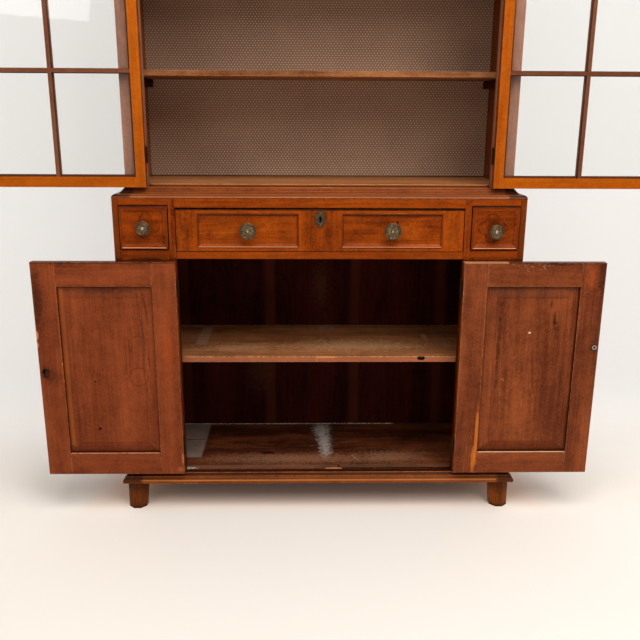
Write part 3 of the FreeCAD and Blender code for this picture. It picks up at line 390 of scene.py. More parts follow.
# %% [markdown]
# ## One recipe for every piece of wood
# A door frame is several boards in one solid: the stiles stand and the rails lie. Wood that ran the
# same way through both would give the frame away as a single slab. So the recipe takes a list of
# members, each a box, and turns the grain and changes the seed inside it. It also takes a list of
# marks, each a colour laid on through its own mask.

# %% The wood recipe
@dataclass
class Wood:
    """The finish of one kind of wood, before it is laid on a piece. reach, in millimetres, is how far from
    a corner the grime and painted shade still reach."""
    light: tuple
    dark: tuple
    figure: float = 0.4
    rings: float = 0.3
    pores: float = 0.5
    streaks: float = 0.3
    grime_and_shade: float = 0.6
    wear: float = 0.4
    blotches: float = 0.2
    bare: tuple = (190, 110, 60)
    rough: float = 0.36
    gloss: float = 0.0
    reach: float = 12


def metres(*millimetres):
    return tuple(value * MM for value in millimetres)


def spot(colour, strength, centre, radii, ragged=0.5, soft=0.3):
    """A stain, a chip, or a spot of painted light or shade. centre and radii in millimetres."""
    return (SPOT, colour, strength, {"Centre": metres(*centre), "Radii": metres(*radii),
                                     "Ragged": ragged, "Soft": soft})


def scratch(colour, strength, start, end, width, broken=0.5):
    """A line between two places in millimetres."""
    return (SCRATCH, colour, strength, {"From": metres(*start), "To": metres(*end), "Width": width * MM,
                                        "Broken": broken})


def patch(colour, strength, low, high, soft=4.0):
    """A box of another colour, such as the ghost of a label or of a bottle crate, or a band of painted light
    or shade.
    """
    return (INSIDE_BOX, colour, strength, {"Low": metres(*low), "High": metres(*high), "Softness": soft * MM})


def lay_marks(w, place, colour, marks):
    for tree, mark_colour, strength, inputs in marks:
        mask = w.group(tree, {"Place": place, **inputs})["Mask"]
        colour = w.mix(w.times(mask, strength), colour, srgb(*mark_colour))
    return colour


def wood(name, finish, along="Z", members=(), seed=0.0, inside=None, faces=(0, -1, 0), marks=(), extra=None):
    """A material for one piece. along is the way its grain runs. members are (low, high, along, seed)
    boxes, in millimetres, with grain of their own. inside is a second finish for the faces that look
    towards faces while the press stands as photographed. extra lays a pattern over the colour."""
    material, w, shader, coordinates = new_material(name)
    place, normal = coordinates["Object"], coordinates["Normal"]
    space = {"Lies Across": float(along == "X"), "Runs Back": float(along == "Y"), "Seed": seed}
    for low, high, way, own_seed in members:
        mask = w.group(INSIDE_BOX, {"Place": place, "Low": metres(*low), "High": metres(*high)})["Mask"]
        wanted = (float(way == "X"), float(way == "Y"), seed + own_seed)
        for label, value in zip(space, wanted):
            space[label] = w.mix_numbers(mask, space[label], value)
    vector = w.group(BOARD_SPACE, {"Place": place, **space})[0]

    def grain_of(wanted):
        return w.group(GRAIN, {"Vector": vector, "Light": srgb(*wanted.light), "Dark": srgb(*wanted.dark),
                               "Figure": wanted.figure, "Rings": wanted.rings, "Pores": wanted.pores,
                               "Streaks": wanted.streaks})

    grain = grain_of(finish)
    colour, bare = grain["Color"], srgb(*finish.bare)
    wear, grime_and_shade, rough, blotches = finish.wear, finish.grime_and_shade, finish.rough, finish.blotches
    if inside:
        mask = w.step(w.vector("DOT_PRODUCT", normal, faces), 0.35, 0.65)
        colour = w.mix(mask, colour, grain_of(inside)["Color"])
        bare = w.mix(mask, bare, srgb(*inside.bare))
        wear, grime_and_shade, rough, blotches = [w.plus(outer, w.times(mask, inner - outer)) for outer, inner in (
            (wear, inside.wear), (grime_and_shade, inside.grime_and_shade), (rough, inside.rough),
            (blotches, inside.blotches))]
    if extra:
        colour = extra(w, place, colour)
    colour = lay_marks(w, place, colour, marks)
    # The darkening in shut-in corners is grime and painted shade together.
    aged = w.group(AGE, {"Color": colour, "Openness": w.open_air(finish.reach), "Place": place,
                         "Grime And Shade": grime_and_shade, "Wear": wear, "Bare Color": bare, "Blotches": blotches})
    dull = w.times(w.plus(aged["Dirt And Shade"], aged["Bare"]), 0.25)
    uneven = w.times(aged["Cloud"], 0.1)
    w.fill(shader, {"Base Color": aged["Color"], "Roughness": w.plus(w.plus(rough, dull), uneven),
                    "Specular IOR Level": 0.04, "Coat Weight": finish.gloss, "Coat Roughness": 0.22,
                    "Coat IOR": 1.25, "Normal": w.bump(0.3, 0.4, grain["Height"])})
    return material


def dress(name, material):
    """Puts a material on one solid."""
    piece = nodes[name]
    if not piece.material_slots:
        piece.data.materials.append(material)
    for slot in piece.material_slots:
        slot.material = material


def edges_of(name):
    """The low and high corners of a solid, in millimetres."""
    low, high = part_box(name)
    return [value / MM for value in low], [value / MM for value in high]


# %% [markdown]
# ## The finishes
# The colours were read from the photograph and then warmed or cooled until the render agreed, because
# a picture records colour times light. Outside faces are polished and orange-brown. The backs of the
# cupboard doors never had polish, so they are duller and redder. The inside of the cupboard is raw, dark
# and dry, its back darkened further as painted shade, and its shelf is worn to pale tan.

# %% Define the finishes
POLISHED = Wood((176, 80, 12), (88, 26, 2), figure=0.5, grime_and_shade=1.0, wear=0.3, blotches=0.45,
                bare=(196, 112, 56), rough=0.34, gloss=0.1, reach=18)
SMALL_FRONT = replace(POLISHED, light=(158, 66, 8), dark=(80, 24, 2), blotches=0.4)
WIDE_FRONT = replace(POLISHED, light=(174, 77, 10), dark=(98, 34, 3), figure=0.42, blotches=0.3,
                     bare=(206, 116, 48))
TOP_RAIL = Wood((160, 70, 8), (108, 38, 3), figure=0.4, grime_and_shade=0.9, wear=0.3, blotches=0.3,
                bare=(196, 112, 56), gloss=0.1)
MOULDED = Wood((164, 82, 30), (104, 42, 12), figure=0.35, rings=0.1, grime_and_shade=0.9, wear=0.45,
               bare=(200, 132, 92), rough=0.32, gloss=0.15, reach=5)
SKIRT = Wood((150, 76, 30), (98, 42, 12), figure=0.4, rings=0.15, grime_and_shade=0.9, wear=0.6,
             bare=(196, 126, 80), rough=0.34, gloss=0.15, reach=6)
FOOT = Wood((142, 74, 24), (72, 32, 10), streaks=0.6, grime_and_shade=0.9, wear=0.6, bare=(180, 104, 52), reach=8)
DOOR_BACK = Wood((148, 72, 36), (98, 42, 20), figure=0.5, rings=0.12, pores=0.7, streaks=0.45, grime_and_shade=0.1,
                 wear=0.8, blotches=0.16, bare=(206, 136, 78), rough=0.5)
DOOR_BACK_RIGHT = replace(DOOR_BACK, light=(152, 78, 40), dark=(90, 40, 20), figure=0.55, rings=0.15,
                          pores=0.9, streaks=0.6, wear=0.7, blotches=0.25, bare=(206, 150, 104))
GLAZED = Wood((188, 94, 10), (142, 60, 5), figure=0.4, rings=0.2, pores=0.3, grime_and_shade=0.6, wear=0.3,
              bare=(210, 140, 70), rough=0.4)
GLAZED_EDGE = Wood((158, 110, 86), (122, 80, 62), figure=0.4, grime_and_shade=0.4, wear=0.4, bare=(170, 130, 110))
BAR = Wood((128, 78, 52), (92, 48, 28), figure=0.4, rings=0.1, grime_and_shade=0.3, wear=0.3, bare=(160, 110, 84))
CARCASE = Wood((82, 34, 14), (44, 14, 6), figure=0.5, grime_and_shade=0.5, wear=0.15, rough=0.6)
INNER_SIDE = Wood((176, 104, 44), (120, 62, 20), figure=0.4, grime_and_shade=0.4, wear=0.3, rough=0.5)
# A darker copy for the right inner side, as painted shade.
INNER_SHADE = replace(INNER_SIDE, light=(140, 70, 20), dark=(96, 40, 8))
SHELF = Wood((168, 108, 66), (100, 56, 28), figure=0.5, rings=0.3, pores=0.9, streaks=0.7, grime_and_shade=0.35,
             wear=0.9, blotches=0.25, bare=(206, 150, 116), rough=0.55)
FLOOR_BOARD = Wood((122, 64, 34), (56, 23, 11), figure=0.6, rings=0.5, pores=0.9, streaks=0.9, grime_and_shade=0.35,
                   wear=0.6, blotches=0.4, bare=(170, 130, 104), rough=0.6)
# The back's colour is darker than the raw wood alone, as painted shade.
DARK_AND_SHADED_BACK = Wood((76, 22, 14), (38, 8, 6), figure=0.6, rings=0.35, pores=0.6, grime_and_shade=0.4, wear=0.1, rough=0.6)
UPPER_FLOOR = Wood((178, 118, 72), (130, 80, 44), figure=0.4, rings=0.2, pores=0.6, grime_and_shade=0.7, wear=0.9,
                   blotches=0.2, bare=(236, 186, 140), rough=0.5)
PALE_PINE = Wood((180, 132, 82), (134, 88, 48), figure=0.5, rings=0.8, pores=0.2, grime_and_shade=0.5, wear=0.3,
                 blotches=0.35, bare=(200, 158, 110), rough=0.6)
DRAWER_OAK = Wood((176, 128, 78), (128, 84, 44), figure=0.4, rings=0.3, pores=0.9, grime_and_shade=0.55, wear=0.3,
                  bare=(196, 154, 104), rough=0.55)
print(POLISHED)

# %% [markdown]
# ## Dressing the lower case
# The front rails lie across and the posts between them stand. The shelf and the cupboard floor have
# had two centuries of use, so they get the marks that the photograph shows: a pale patch where a box
# kept the dust off, streaks of spilt whitewash along the middle, knots and chips.

# %% Dress the lower case
SIDES = {"left": -1, "right": 1}
# The near-black colour serves both for black stains and for painted shade, and the black of the keyholes is
# painted shade.
INK_AND_SHADE, HOLE_SHADE, NAIL_HOLE = (20, 8, 5), (2, 1, 1), (30, 12, 8)
CHALK, WHITEWASH, CHIP, WARM = (150, 128, 118), (186, 172, 162), (206, 130, 78), (198, 96, 18)
SHELF_Z, FLOOR_Z, DRAWER_Y = 505, 123.5, -188


def mirrored(sign, inner, outer):
    """The low and high X of something on one side, from its two distances to the middle."""
    return sorted((sign * inner, sign * outer))


for (side, sign), seed in zip(SIDES.items(), (1.3, 2.9)):
    low_x, high_x = mirrored(sign, 592, 612)
    dress(f"base_side_{side}", wood(
        f"polished_{side}_side", POLISHED, "Z", seed=seed, inside=CARCASE, faces=(-sign, 0, 0),
        marks=[patch((58, 22, 6), 0.55, (low_x, -192, 600), (high_x, -184, 1003), 1.2)]))
# The dark strip along the sill is painted shade.
dress("sill_rail", wood("sill", SKIRT, "X", seed=3.1, marks=[
    patch((34, 12, 5), 0.9, (-600, -200, 119.5), (600, -160, 126), 1.5)]))
# On the top board the pale band along the rounded front edge is a painted highlight, the dark bands under and
# over it are painted shade, the orange band on its top is painted light from above, and the near-black ends
# are dirt and painted shade.
dress("base_top", wood("top_board", MOULDED, "X", seed=0.4, marks=[
    patch((54, 20, 8), 0.8, (-612, -192, 999.5), (612, -182, 1001.6), 0.4),
    patch((206, 146, 116), 0.36, (-604, -192, 1002.4), (604, -184, 1004.6), 0.6),
    patch((60, 20, 6), 0.85, (-606, -190, 1006.6), (606, -176, 1012), 0.8),
    patch((206, 122, 62), 0.5, (-590, -184, 1009.5), (590, -150, 1012), 4),
    patch(INK_AND_SHADE, 0.7, (-612, -192, 1001), (-556, -100, 1012), 4),
    patch(INK_AND_SHADE, 0.7, (556, -192, 1001), (612, -100, 1012), 4)]))
# The four dark lines between the reeds are painted shade, and the near-black ends are dirt and painted shade.
dress("waist_moulding", wood("waist_moulding", MOULDED, "X", seed=5.2, marks=[
    patch((52, 18, 6), 0.8, (-600, -172, height), (600, -146, height + 1.4), 0.5)
    for height in (1010.8, 1015.2, 1019.6, 1024.0)]
    + [patch(INK_AND_SHADE, 0.75, (low, -180, 1005), (low + 56, 200, 1040), 4) for low in (-606, 550)]))
# On the skirting the pale line along its upper round is a painted highlight, the dark lines in its quirk and
# along its foot are painted shade, the near-black band along its top is the painted shadow of the doors,
# there is a lighter orange band, and it is darker towards both ends; the pale scratches on its foot are
# chips.
dress("base_moulding", wood("skirting", SKIRT, "X", seed=6.1, marks=[
    patch((216, 146, 104), 0.6, (-630, -210, 110), (630, -200, 113), 1.2),
    patch((26, 9, 4), 0.8, (-632, -210, 115.5), (632, -190, 122), 1.0),
    patch((40, 16, 6), 0.5, (-632, -212, 86), (632, -190, 89.5), 1.0),
    patch((220, 140, 66), 0.45, (-572, -214, 101), (572, -194, 105), 1.4),
    patch((52, 20, 7), 0.6, (-632, -214, 106.4), (632, -190, 109), 0.9),
    patch((30, 14, 8), 0.65, (-640, -215, 85), (-566, -190, 125), 7),
    patch((30, 14, 8), 0.65, (576, -215, 85), (640, -190, 125), 7),
    *[scratch((226, 186, 146), 0.8, (x, -206, 88.5), (x + run, -206, 88), 2.6, 0.9)
      for x, run in ((-480, 20), (-330, 90), (-140, 40), (20, 60), (310, 60), (480, 30))],
    scratch((220, 170, 130), 0.8, (-430, -206, 93), (-390, -206, 93), 2.4, 0.8),
    scratch((220, 170, 130), 0.6, (130, -206, 93), (210, -206, 93), 2.0, 1.0)]))
# Each foot is near-black at its sole, is darker at its top as painted shade under the skirting, and has dark
# lines down its front.
for number, (end, side) in enumerate(product(("front", "back"), SIDES)):
    sign, line_top_x, line_bottom_x = (-1, -586, -589) if side == "left" else (1, 577, 579)
    name = f"foot_{end}_{side}"
    dress(name, wood(name, FOOT, "Z", seed=1.7 * number, marks=[
        patch(INK_AND_SHADE, 0.85, (-700, -300, -10), (700, 300, 7), 9),
        patch((46, 20, 8), 0.5, (-700, -300, 60), (700, 300, 95), 16),
        scratch(INK_AND_SHADE, 0.7, (line_top_x, -196, 90), (line_bottom_x, -196, 2), 2.4, 0.6),
        scratch((50, 22, 8), 0.6, (sign * 595, -196, 70), (sign * 594, -196, 20), 3, 0.8),
        scratch(INK_AND_SHADE, 0.4, (sign * 603, -194, 90), (sign * 600, -194, 2), 2.0, 0.9)]))
# The near-black strip along the foot of the top rail is the painted shadow of the gap above the wide drawer.
dress("top_rail", wood("top_rail", TOP_RAIL, "X", seed=7.7, marks=[
    patch((8, 3, 2), 0.95, (-427, -192, 968), (427, -160, 973.6), 0.6)]))
dress("drawer_rail", wood("drawer_rail", TOP_RAIL, "X", seed=8.2))
dress("posts", wood("posts", POLISHED, "Z", seed=9.4, marks=[
    patch((24, 8, 3), 0.85, (low, -200, 100), (low + 7, -150, 824), 1.0) for low in (-432, 425)]))
flank_rails = []
for sign, (low, high) in product((-1, 1), ((123, 183.5), (764.5, 825))):
    low_x, high_x = mirrored(sign, 478, 562)
    flank_rails.append(((low_x, -200, low), (high_x, -150, high), "X", 2.0 + sign))
dress("flanks", wood("flanks", POLISHED, "Z", seed=4.4, members=flank_rails))
for number, name in enumerate(("drawer_partitions", "drawer_runners", "shelf_cleats")):
    dress(name, wood(name, CARCASE, "Y", seed=0.8 * number))
# On the shelf the pale lines along the front and back edges are painted highlights, and the two broad tan
# spots are wear and painted sheen together.
dress("cupboard_shelf", wood("cupboard_shelf", SHELF, "X", seed=1.1, marks=[
    patch((170, 150, 128), 0.5, (-404, -26, 504), (-374, 176, 506), 9),
    scratch((166, 146, 140), 0.6, (-500, 96, SHELF_Z), (-396, 30, SHELF_Z), 26, 0.9),
    spot((196, 150, 108), 0.5, (120, -40, SHELF_Z), (330, 90, 6), 1.0, 0.95),
    spot((196, 150, 108), 0.4, (-250, -60, SHELF_Z), (180, 60, 6), 1.2, 0.95),
    spot((150, 70, 18), 0.5, (392, 20, SHELF_Z), (40, 50, 6), 1.0, 0.95),
    spot((200, 170, 120), 0.4, (362, 60, SHELF_Z), (14, 60, 6), 1.0, 0.95),
    spot(INK_AND_SHADE, 0.6, (-232, -2, SHELF_Z), (60, 10, 3), 0.6, 0.8),
    patch((176, 98, 66), 0.55, (-600, -160, 486), (600, -156.8, 503), 0.8),
    scratch((232, 178, 132), 0.8, (-560, -157, 504.6), (560, -157, 504.6), 2.4, 0.7),
    scratch((200, 170, 130), 0.9, (-592, 206, SHELF_Z), (592, 206, SHELF_Z), 4, 0.6),
    *[scratch((216, 170, 128), 0.5, (x, y, SHELF_Z), (x + run, y - 4, SHELF_Z), 2.4, 0.9)
      for x, y, run in ((-260, -66, 46), (-170, -50, 60), (-90, -70, 70), (20, -96, 40), (-20, -60, 30),
                        (140, -80, 26), (-330, -30, 40), (60, -40, 50))],
    patch(CHALK, 0.5, (6, 150, 504), (58, 208, 506), 6),
    scratch(CHALK, 0.6, (8, 60, SHELF_Z), (10, 190, SHELF_Z), 5, 0.8),
    patch(CHALK, 0.22, (392, -60, 504), (424, 140, 506), 8),
    scratch(CHIP, 0.7, (216, -60, SHELF_Z), (222, -30, SHELF_Z), 3),
    spot(CHIP, 0.8, (26, -158, 504), (34, 6, 4), 1.4, 0.3),
    scratch((226, 170, 120), 0.7, (-8, -159, 503), (-9, -159, 489), 2.4, 0.6),
    spot(INK_AND_SHADE, 1.0, (320, -158, 499), (14, 9, 7), 0.5, 0.2)]))
# The near-white line along the back edge of the cupboard floor is a painted highlight.
dress("base_bottom", wood("cupboard_floor", FLOOR_BOARD, "X", seed=2.2, marks=[
    patch((160, 138, 124), 0.9, (-600, -76, 122), (-396, 215, 125), 7),
    spot((150, 108, 80), 0.45, (-100, -90, FLOOR_Z), (420, 60, 5), 1.0, 0.95),
    spot((150, 112, 84), 0.4, (240, -80, FLOOR_Z), (200, 70, 5), 1.0, 0.95),
    *[scratch((176, 134, 104), 0.55, (x, y, FLOOR_Z), (x + run, y - 3, FLOOR_Z), 2.6, 0.9)
      for x, y, run in ((-330, -60, 90), (-360, -96, 120), (-250, -110, 140), (-140, -70, 80),
                        (-60, -110, 60), (90, -100, 70), (190, -90, 110), (230, -60, 60),
                        (300, -120, 90), (-320, 10, 60))],
    scratch((60, 34, 20), 0.8, (-600, 60, FLOOR_Z), (-400, 66, FLOOR_Z), 4, 0.3),
    spot(WHITEWASH, 0.8, (14, 150, FLOOR_Z), (42, 84, 3), 1.0, 0.8),
    spot(WHITEWASH, 0.75, (22, 60, FLOOR_Z), (34, 92, 3), 0.9, 0.8),
    spot(WHITEWASH, 0.65, (24, -20, FLOOR_Z), (30, 84, 3), 1.1, 0.9),
    scratch((180, 160, 148), 0.6, (-40, 60, FLOOR_Z), (70, 66, FLOOR_Z), 12, 0.9),
    scratch((180, 160, 148), 0.5, (-24, 10, FLOOR_Z), (64, 16, FLOOR_Z), 8, 0.9),
    spot(INK_AND_SHADE, 0.85, (-172, -44, FLOOR_Z), (30, 13, 3), 1.2, 0.5),
    spot(INK_AND_SHADE, 0.7, (-134, 14, FLOOR_Z), (24, 9, 3), 1.2, 0.6),
    spot((196, 190, 180), 0.9, (-420, -158, FLOOR_Z), (26, 9, 4), 1.6, 0.3),
    spot(CHIP, 0.9, (46, -164, 122), (30, 9, 5), 0.9, 0.2),
    patch((4, 2, 1), 0.95, (76, -180, 122), (445, -158, 125), 2),
    patch((132, 92, 70), 0.6, (-600, -160, 122), (60, -138, 125), 5),
    patch((128, 84, 60), 0.6, (70, -157, 122), (600, -134, 125), 5),
    scratch((206, 140, 96), 0.8, (132, -104, FLOOR_Z), (114, -66, FLOOR_Z), 3, 0.6),
    scratch((150, 120, 100), 0.6, (-400, -156, FLOOR_Z), (60, -160, FLOOR_Z), 3, 1.0),
    scratch((255, 246, 226), 1.0, (-592, 205, FLOOR_Z), (280, 205, FLOOR_Z), 6, 0.6)]))
BACK_JOINTS = (-457.5, -152.5, 152.5, 457.5)


def back_members(front, low, high, step):
    """One member for each board between two joints of a back."""
    return [((left, front, low), (right, 230, high), "Z", step * number)
            for number, (left, right) in enumerate(zip(BACK_JOINTS, BACK_JOINTS[1:]))]


# The lighter strips beside the joints are painted highlights, and the two pale spots are painted light on the
# middle of the boards.
dress("base_back_boards", wood(
    "cupboard_back", DARK_AND_SHADED_BACK, "Z", seed=3.3, members=back_members(200, 0, 1100, 1.9), marks=[
        *[patch((104, 50, 26), 0.45, (joint - 34, 205, 80), (joint - 2, 225, 1000), 12)
          for joint in BACK_JOINTS],
        spot((96, 60, 34), 0.4, (10, 210, 640), (40, 6, 130), 1.0, 0.9),
        spot((96, 60, 34), 0.3, (-210, 210, 330), (60, 6, 120), 1.0, 0.9)]))
print("lower case dressed,", len(bpy.data.materials), "materials so far")

# %% [markdown]
# ## Dressing the glazed case
# The upper case was built to be looked into. Its back is lined with a paper of pale dots in staggered
# rows, and the inner faces of its sides were left brown. The stiles show a hazy purple-brown through
# the glass of the open doors.

# %% Dress the upper case
for side, seed, stile_seed, inner in (("left", 2.1, 0.9, INNER_SIDE), ("right", 5.1, 2.7, INNER_SHADE)):
    dress(f"upper_side_{side}", wood(f"upper_{side}_side", POLISHED, "Z", seed=seed, inside=inner,
                                     faces=(-SIDES[side], 0, 0)))
    dress(f"upper_stile_{side}", wood(f"upper_{side}_stile", GLAZED_EDGE, "Z", seed=stile_seed))
# On the floor of the glazed case the front part is darkened as painted shade, and near the front a pale line
# is a painted highlight with a dark line of painted shade below it; the orange band is the front of the board
# and the pale scratches are chips.
dress("upper_floor", wood("upper_floor", UPPER_FLOOR, "X", seed=6.6, marks=[
    patch((120, 66, 30), 0.5, (-600, -260, 1000), (600, -40, 1040), 30),
    patch((160, 84, 32), 0.75, (-600, -250, 1000), (600, -119, 1040), 1.5),
    patch((72, 28, 8), 0.8, (-600, -128, 1027.5), (600, -120, 1031), 0.8),
    patch((214, 150, 96), 0.4, (-600, -128, 1034.5), (600, -121, 1038), 1.0),
    scratch((250, 222, 190), 0.9, (4, -148, 1028), (36, -148, 1028), 4, 0.4),
    scratch((250, 222, 190), 0.8, (476, -148, 1028), (498, -148, 1028), 4, 0.4)]))
for name, finish, seed in (("upper_top", PALE_PINE, 6.9), ("head_rail", POLISHED, 7.1),
                           ("cornice", MOULDED, 7.4), ("upper_shelves", SHELF, 7.9)):
    dress(name, wood(name, finish, "X", seed=seed))
# The dark strip at the foot of the back, where it meets the floor, is painted shade.
dress("upper_back_boards", wood(
    "upper_back", PALE_PINE, "Z", seed=4.1, members=back_members(170, 1000, 2100, 1.7),
    marks=[patch((70, 34, 14), 0.8, (-600, 170, 1030), (600, 184, 1042), 1.5)]))


# %% [markdown]
# ## The lining paper
# The paper is printed with pale dots in staggered rows, and parts of the print have worn off. A picture
# of it would have to be lined up by hand. Two square grids of dots, one of them half a step aside and
# half a step up, give the same rows at the spacing that was measured, and noise wears them.

# %% The dotted lining paper
def make_dotted_paper():
    tree, w, given, out = new_group(
        "Dotted Paper",
        {"Place": ORIGIN, "Across": 10.0 * MM, "Up": 14.6 * MM,
         "Ground": (0.2, 0.1, 0.06, 1), "Dots": (0.7, 0.6, 0.5, 1), "Dot": 2.1 * MM},
        {"Color": BLACK, "Mask": NUMBER})
    x, _, z = w.split(given["Place"])
    nearest = None
    for shift in (0.0, 0.5):
        column = w.math("FRACT", w.plus(w.math("DIVIDE", x, given["Across"]), 100.0 + shift))
        row = w.math("FRACT", w.plus(w.math("DIVIDE", z, given["Up"]), 100.0 + shift))
        across = w.times(w.minus(column, 0.5), given["Across"])
        upward = w.times(w.minus(row, 0.5), given["Up"])
        away = w.vector("LENGTH", w.join(across, upward, 0.0))
        nearest = away if nearest is None else w.math("MINIMUM", nearest, away)
    printed = w.step(w.noise(given["Place"], 160.0, 2.0), 0.22, 0.5, 0.35, 1.0)
    mask = w.times(w.step(nearest, given["Dot"], w.times(given["Dot"], 0.55)), printed)
    stain = w.step(w.noise(given["Place"], 3.0, 4.0, 0.6), 0.35, 0.75, 0.0, 0.35)
    ground = w.mix(stain, given["Ground"], (0.1, 0.045, 0.025, 1))
    w.put(out.inputs["Color"], w.mix(mask, ground, given["Dots"]))
    w.put(out.inputs["Mask"], mask)
    return tree


DOTTED = make_dotted_paper()
paper, w, shader, coordinates = new_material("dotted_paper")
dotted = w.group(DOTTED, {"Place": coordinates["Object"], "Ground": srgb(158, 121, 95),
                          "Dots": srgb(230, 208, 184)})
w.fill(shader, {"Base Color": dotted["Color"], "Roughness": 0.75, "Specular IOR Level": 0.15,
                "Normal": w.bump(0.2, 0.3, dotted["Mask"])})
dress("lining_paper", paper)
print("lining paper:", [node.name for node in paper.node_tree.nodes])

# %% [markdown]
# ## Dressing the doors
# Each door shows two finishes, polish on its face and raw wood on its back. The photograph shows the
# backs, with the marks of a long life: a black stain round the keyhole, a scribed circle where a
# compass was tried out, pale specks, and a streak of orange where a strip of the panel's edge was
# rubbed bare.

# %% Dress the cupboard doors
DOOR_Y, PANEL_Y = -220, -217
PANEL_LOW, PANEL_HIGH, PANEL_INNER, PANEL_OUTER = 207.5, 743.0, 500.0, 781.5


def rail_members(sign, stile_inner, stile_outer, *heights):
    """The rails of one door frame, whose grain lies across between its two stiles."""
    low_x, high_x = mirrored(sign, stile_inner, stile_outer)
    return [((low_x, -230, low), (high_x, -140, high), "X", 1.3 + number)
            for number, (low, high) in enumerate(heights)]


def line_through(colour, strength, points, width, broken=0.6):
    """A bent line over the panels, through places given by their X and Z."""
    places = [(x, PANEL_Y, z) for x, z in points]
    return [scratch(colour, strength, start, end, width, broken) for start, end in zip(places, places[1:])]


def ring_mark(strength, centre, radius, width, sides=14):
    """A circle scribed with compasses, as a chain of short scratches."""
    points = [(centre[0] + radius * math.cos(turn * math.tau / sides),
               centre[1] + radius * math.sin(turn * math.tau / sides)) for turn in range(sides + 1)]
    return line_through((62, 26, 14), strength, points, width, 0.45)


def at_door(x, z):
    return (x, DOOR_Y, z)


def bevel_painted_shade(sign, strength):
    """Paints shade on the four sloping borders of a raised panel: a dark groove, darker slopes at the foot
    and head, and a dark line where the slopes end.
    """
    low_x, high_x = mirrored(sign, PANEL_INNER, PANEL_OUTER)

    def lay(w, place, colour):
        x, _, z = w.split(place)
        aside = w.math("MINIMUM", w.minus(x, low_x * MM), w.minus(high_x * MM, x))
        below = w.minus(z, PANEL_LOW * MM)
        above = w.minus(PANEL_HIGH * MM, z)
        nearest = w.math("MINIMUM", aside, w.math("MINIMUM", below, above))
        slope = w.step(nearest, 36 * MM, 33 * MM)
        foot = w.times(slope, w.step(w.minus(aside, below), -1 * MM, 1 * MM))
        head = w.times(slope, w.step(w.minus(aside, above), -1 * MM, 1 * MM))
        colour = w.mix(w.times(foot, 0.5 * strength), colour, srgb(92, 34, 12))
        colour = w.mix(w.times(head, 0.4 * strength), colour, srgb(84, 46, 30))
        edge = w.step(w.math("ABSOLUTE", w.minus(nearest, 34.5 * MM)), 3.0 * MM, 0.4 * MM)
        broken = w.step(w.noise(place, 30.0, 3.0), 0.3, 0.6, 0.3, 1.0)
        colour = w.mix(w.times(w.times(edge, broken), 0.5 * strength), colour,
                       srgb(66, 28, 14))
        groove = w.step(nearest, 4.0 * MM, 1.4 * MM)
        return w.mix(w.times(groove, 0.3), colour, srgb(76, 32, 14))

    return lay


LEFT_FRAME_MARKS = [
    spot(INK_AND_SHADE, 0.65, at_door(-842, 700), (26, 5, 150), 0.7, 0.9),
    spot(INK_AND_SHADE, 0.5, at_door(-760, 818), (110, 8, 22), 0.8, 0.9),
    patch((44, 18, 10), 0.7, (-860, -222, 812.5), (-420, -200, 820), 1.6),
    spot(INK_AND_SHADE, 0.35, at_door(-770, 140), (60, 8, 14), 1.0, 0.9),
    spot(INK_AND_SHADE, 0.9, at_door(-836, 474), (18, 8, 28), 0.5, 0.8),
    # the keyhole, painted black as painted shade
    spot(HOLE_SHADE, 1.0, at_door(-837, 476), (9, 60, 10), 0.4, 0.3),
    spot(INK_AND_SHADE, 0.45, at_door(-815, 462), (46, 6, 42), 0.8, 0.9),
    spot(CHIP, 0.9, at_door(-852, 594), (6, 6, 16), 0.6, 0.3),
    spot(CHIP, 0.8, at_door(-852, 562), (4, 6, 10), 0.6, 0.3),
    spot((214, 150, 92), 0.9, at_door(-780.9, 502.4), (3.4, 3, 3.4), 0.3),
    spot((214, 150, 92), 0.9, at_door(-779.5, 447.6), (3.8, 3, 4.2), 0.3),
    scratch((196, 118, 70), 0.5, at_door(-474, 668), at_door(-452, 655), 2, 0.9),
    scratch((196, 118, 70), 0.5, at_door(-470, 648), at_door(-458, 668), 2, 0.9),
    scratch((206, 128, 76), 0.6, at_door(-482, 440), at_door(-468, 456), 2.4, 0.8),
    scratch((196, 132, 84), 0.8, at_door(-429, 805), at_door(-429, 560), 2.6, 1.05),
    scratch((196, 132, 84), 0.8, at_door(-429.5, 300), at_door(-430, 150), 3.4, 1.0),
    spot((186, 118, 60), 0.6, at_door(-431, 190), (4, 6, 26), 1.0, 0.6),
    spot((176, 106, 54), 0.45, at_door(-440, 150), (12, 6, 12), 1.3, 0.8),
    scratch((186, 112, 66), 0.5, at_door(-784, 770), at_door(-786, 790), 2.0, 0.8),
    # a painted highlight along the rail at the foot of the panel
    scratch((206, 150, 116), 0.8, at_door(-778, 207), at_door(-504, 207), 2.4, 0.5),
    spot((160, 72, 26), 0.5, at_door(-462, 560), (26, 8, 170), 0.9, 0.9),
    scratch(INK_AND_SHADE, 0.4, at_door(-500, 743), at_door(-500, 812), 1.6, 0.7),
    scratch(INK_AND_SHADE, 0.4, at_door(-781.5, 743), at_door(-781.5, 812), 1.6, 0.7)]
dress("lower_left_door_frame", wood(
    "left_cupboard_door", POLISHED, "Z", inside=DOOR_BACK, seed=5.0, marks=LEFT_FRAME_MARKS,
    members=rail_members(-1, PANEL_INNER, PANEL_OUTER, (PANEL_HIGH, 830), (120, PANEL_LOW))))
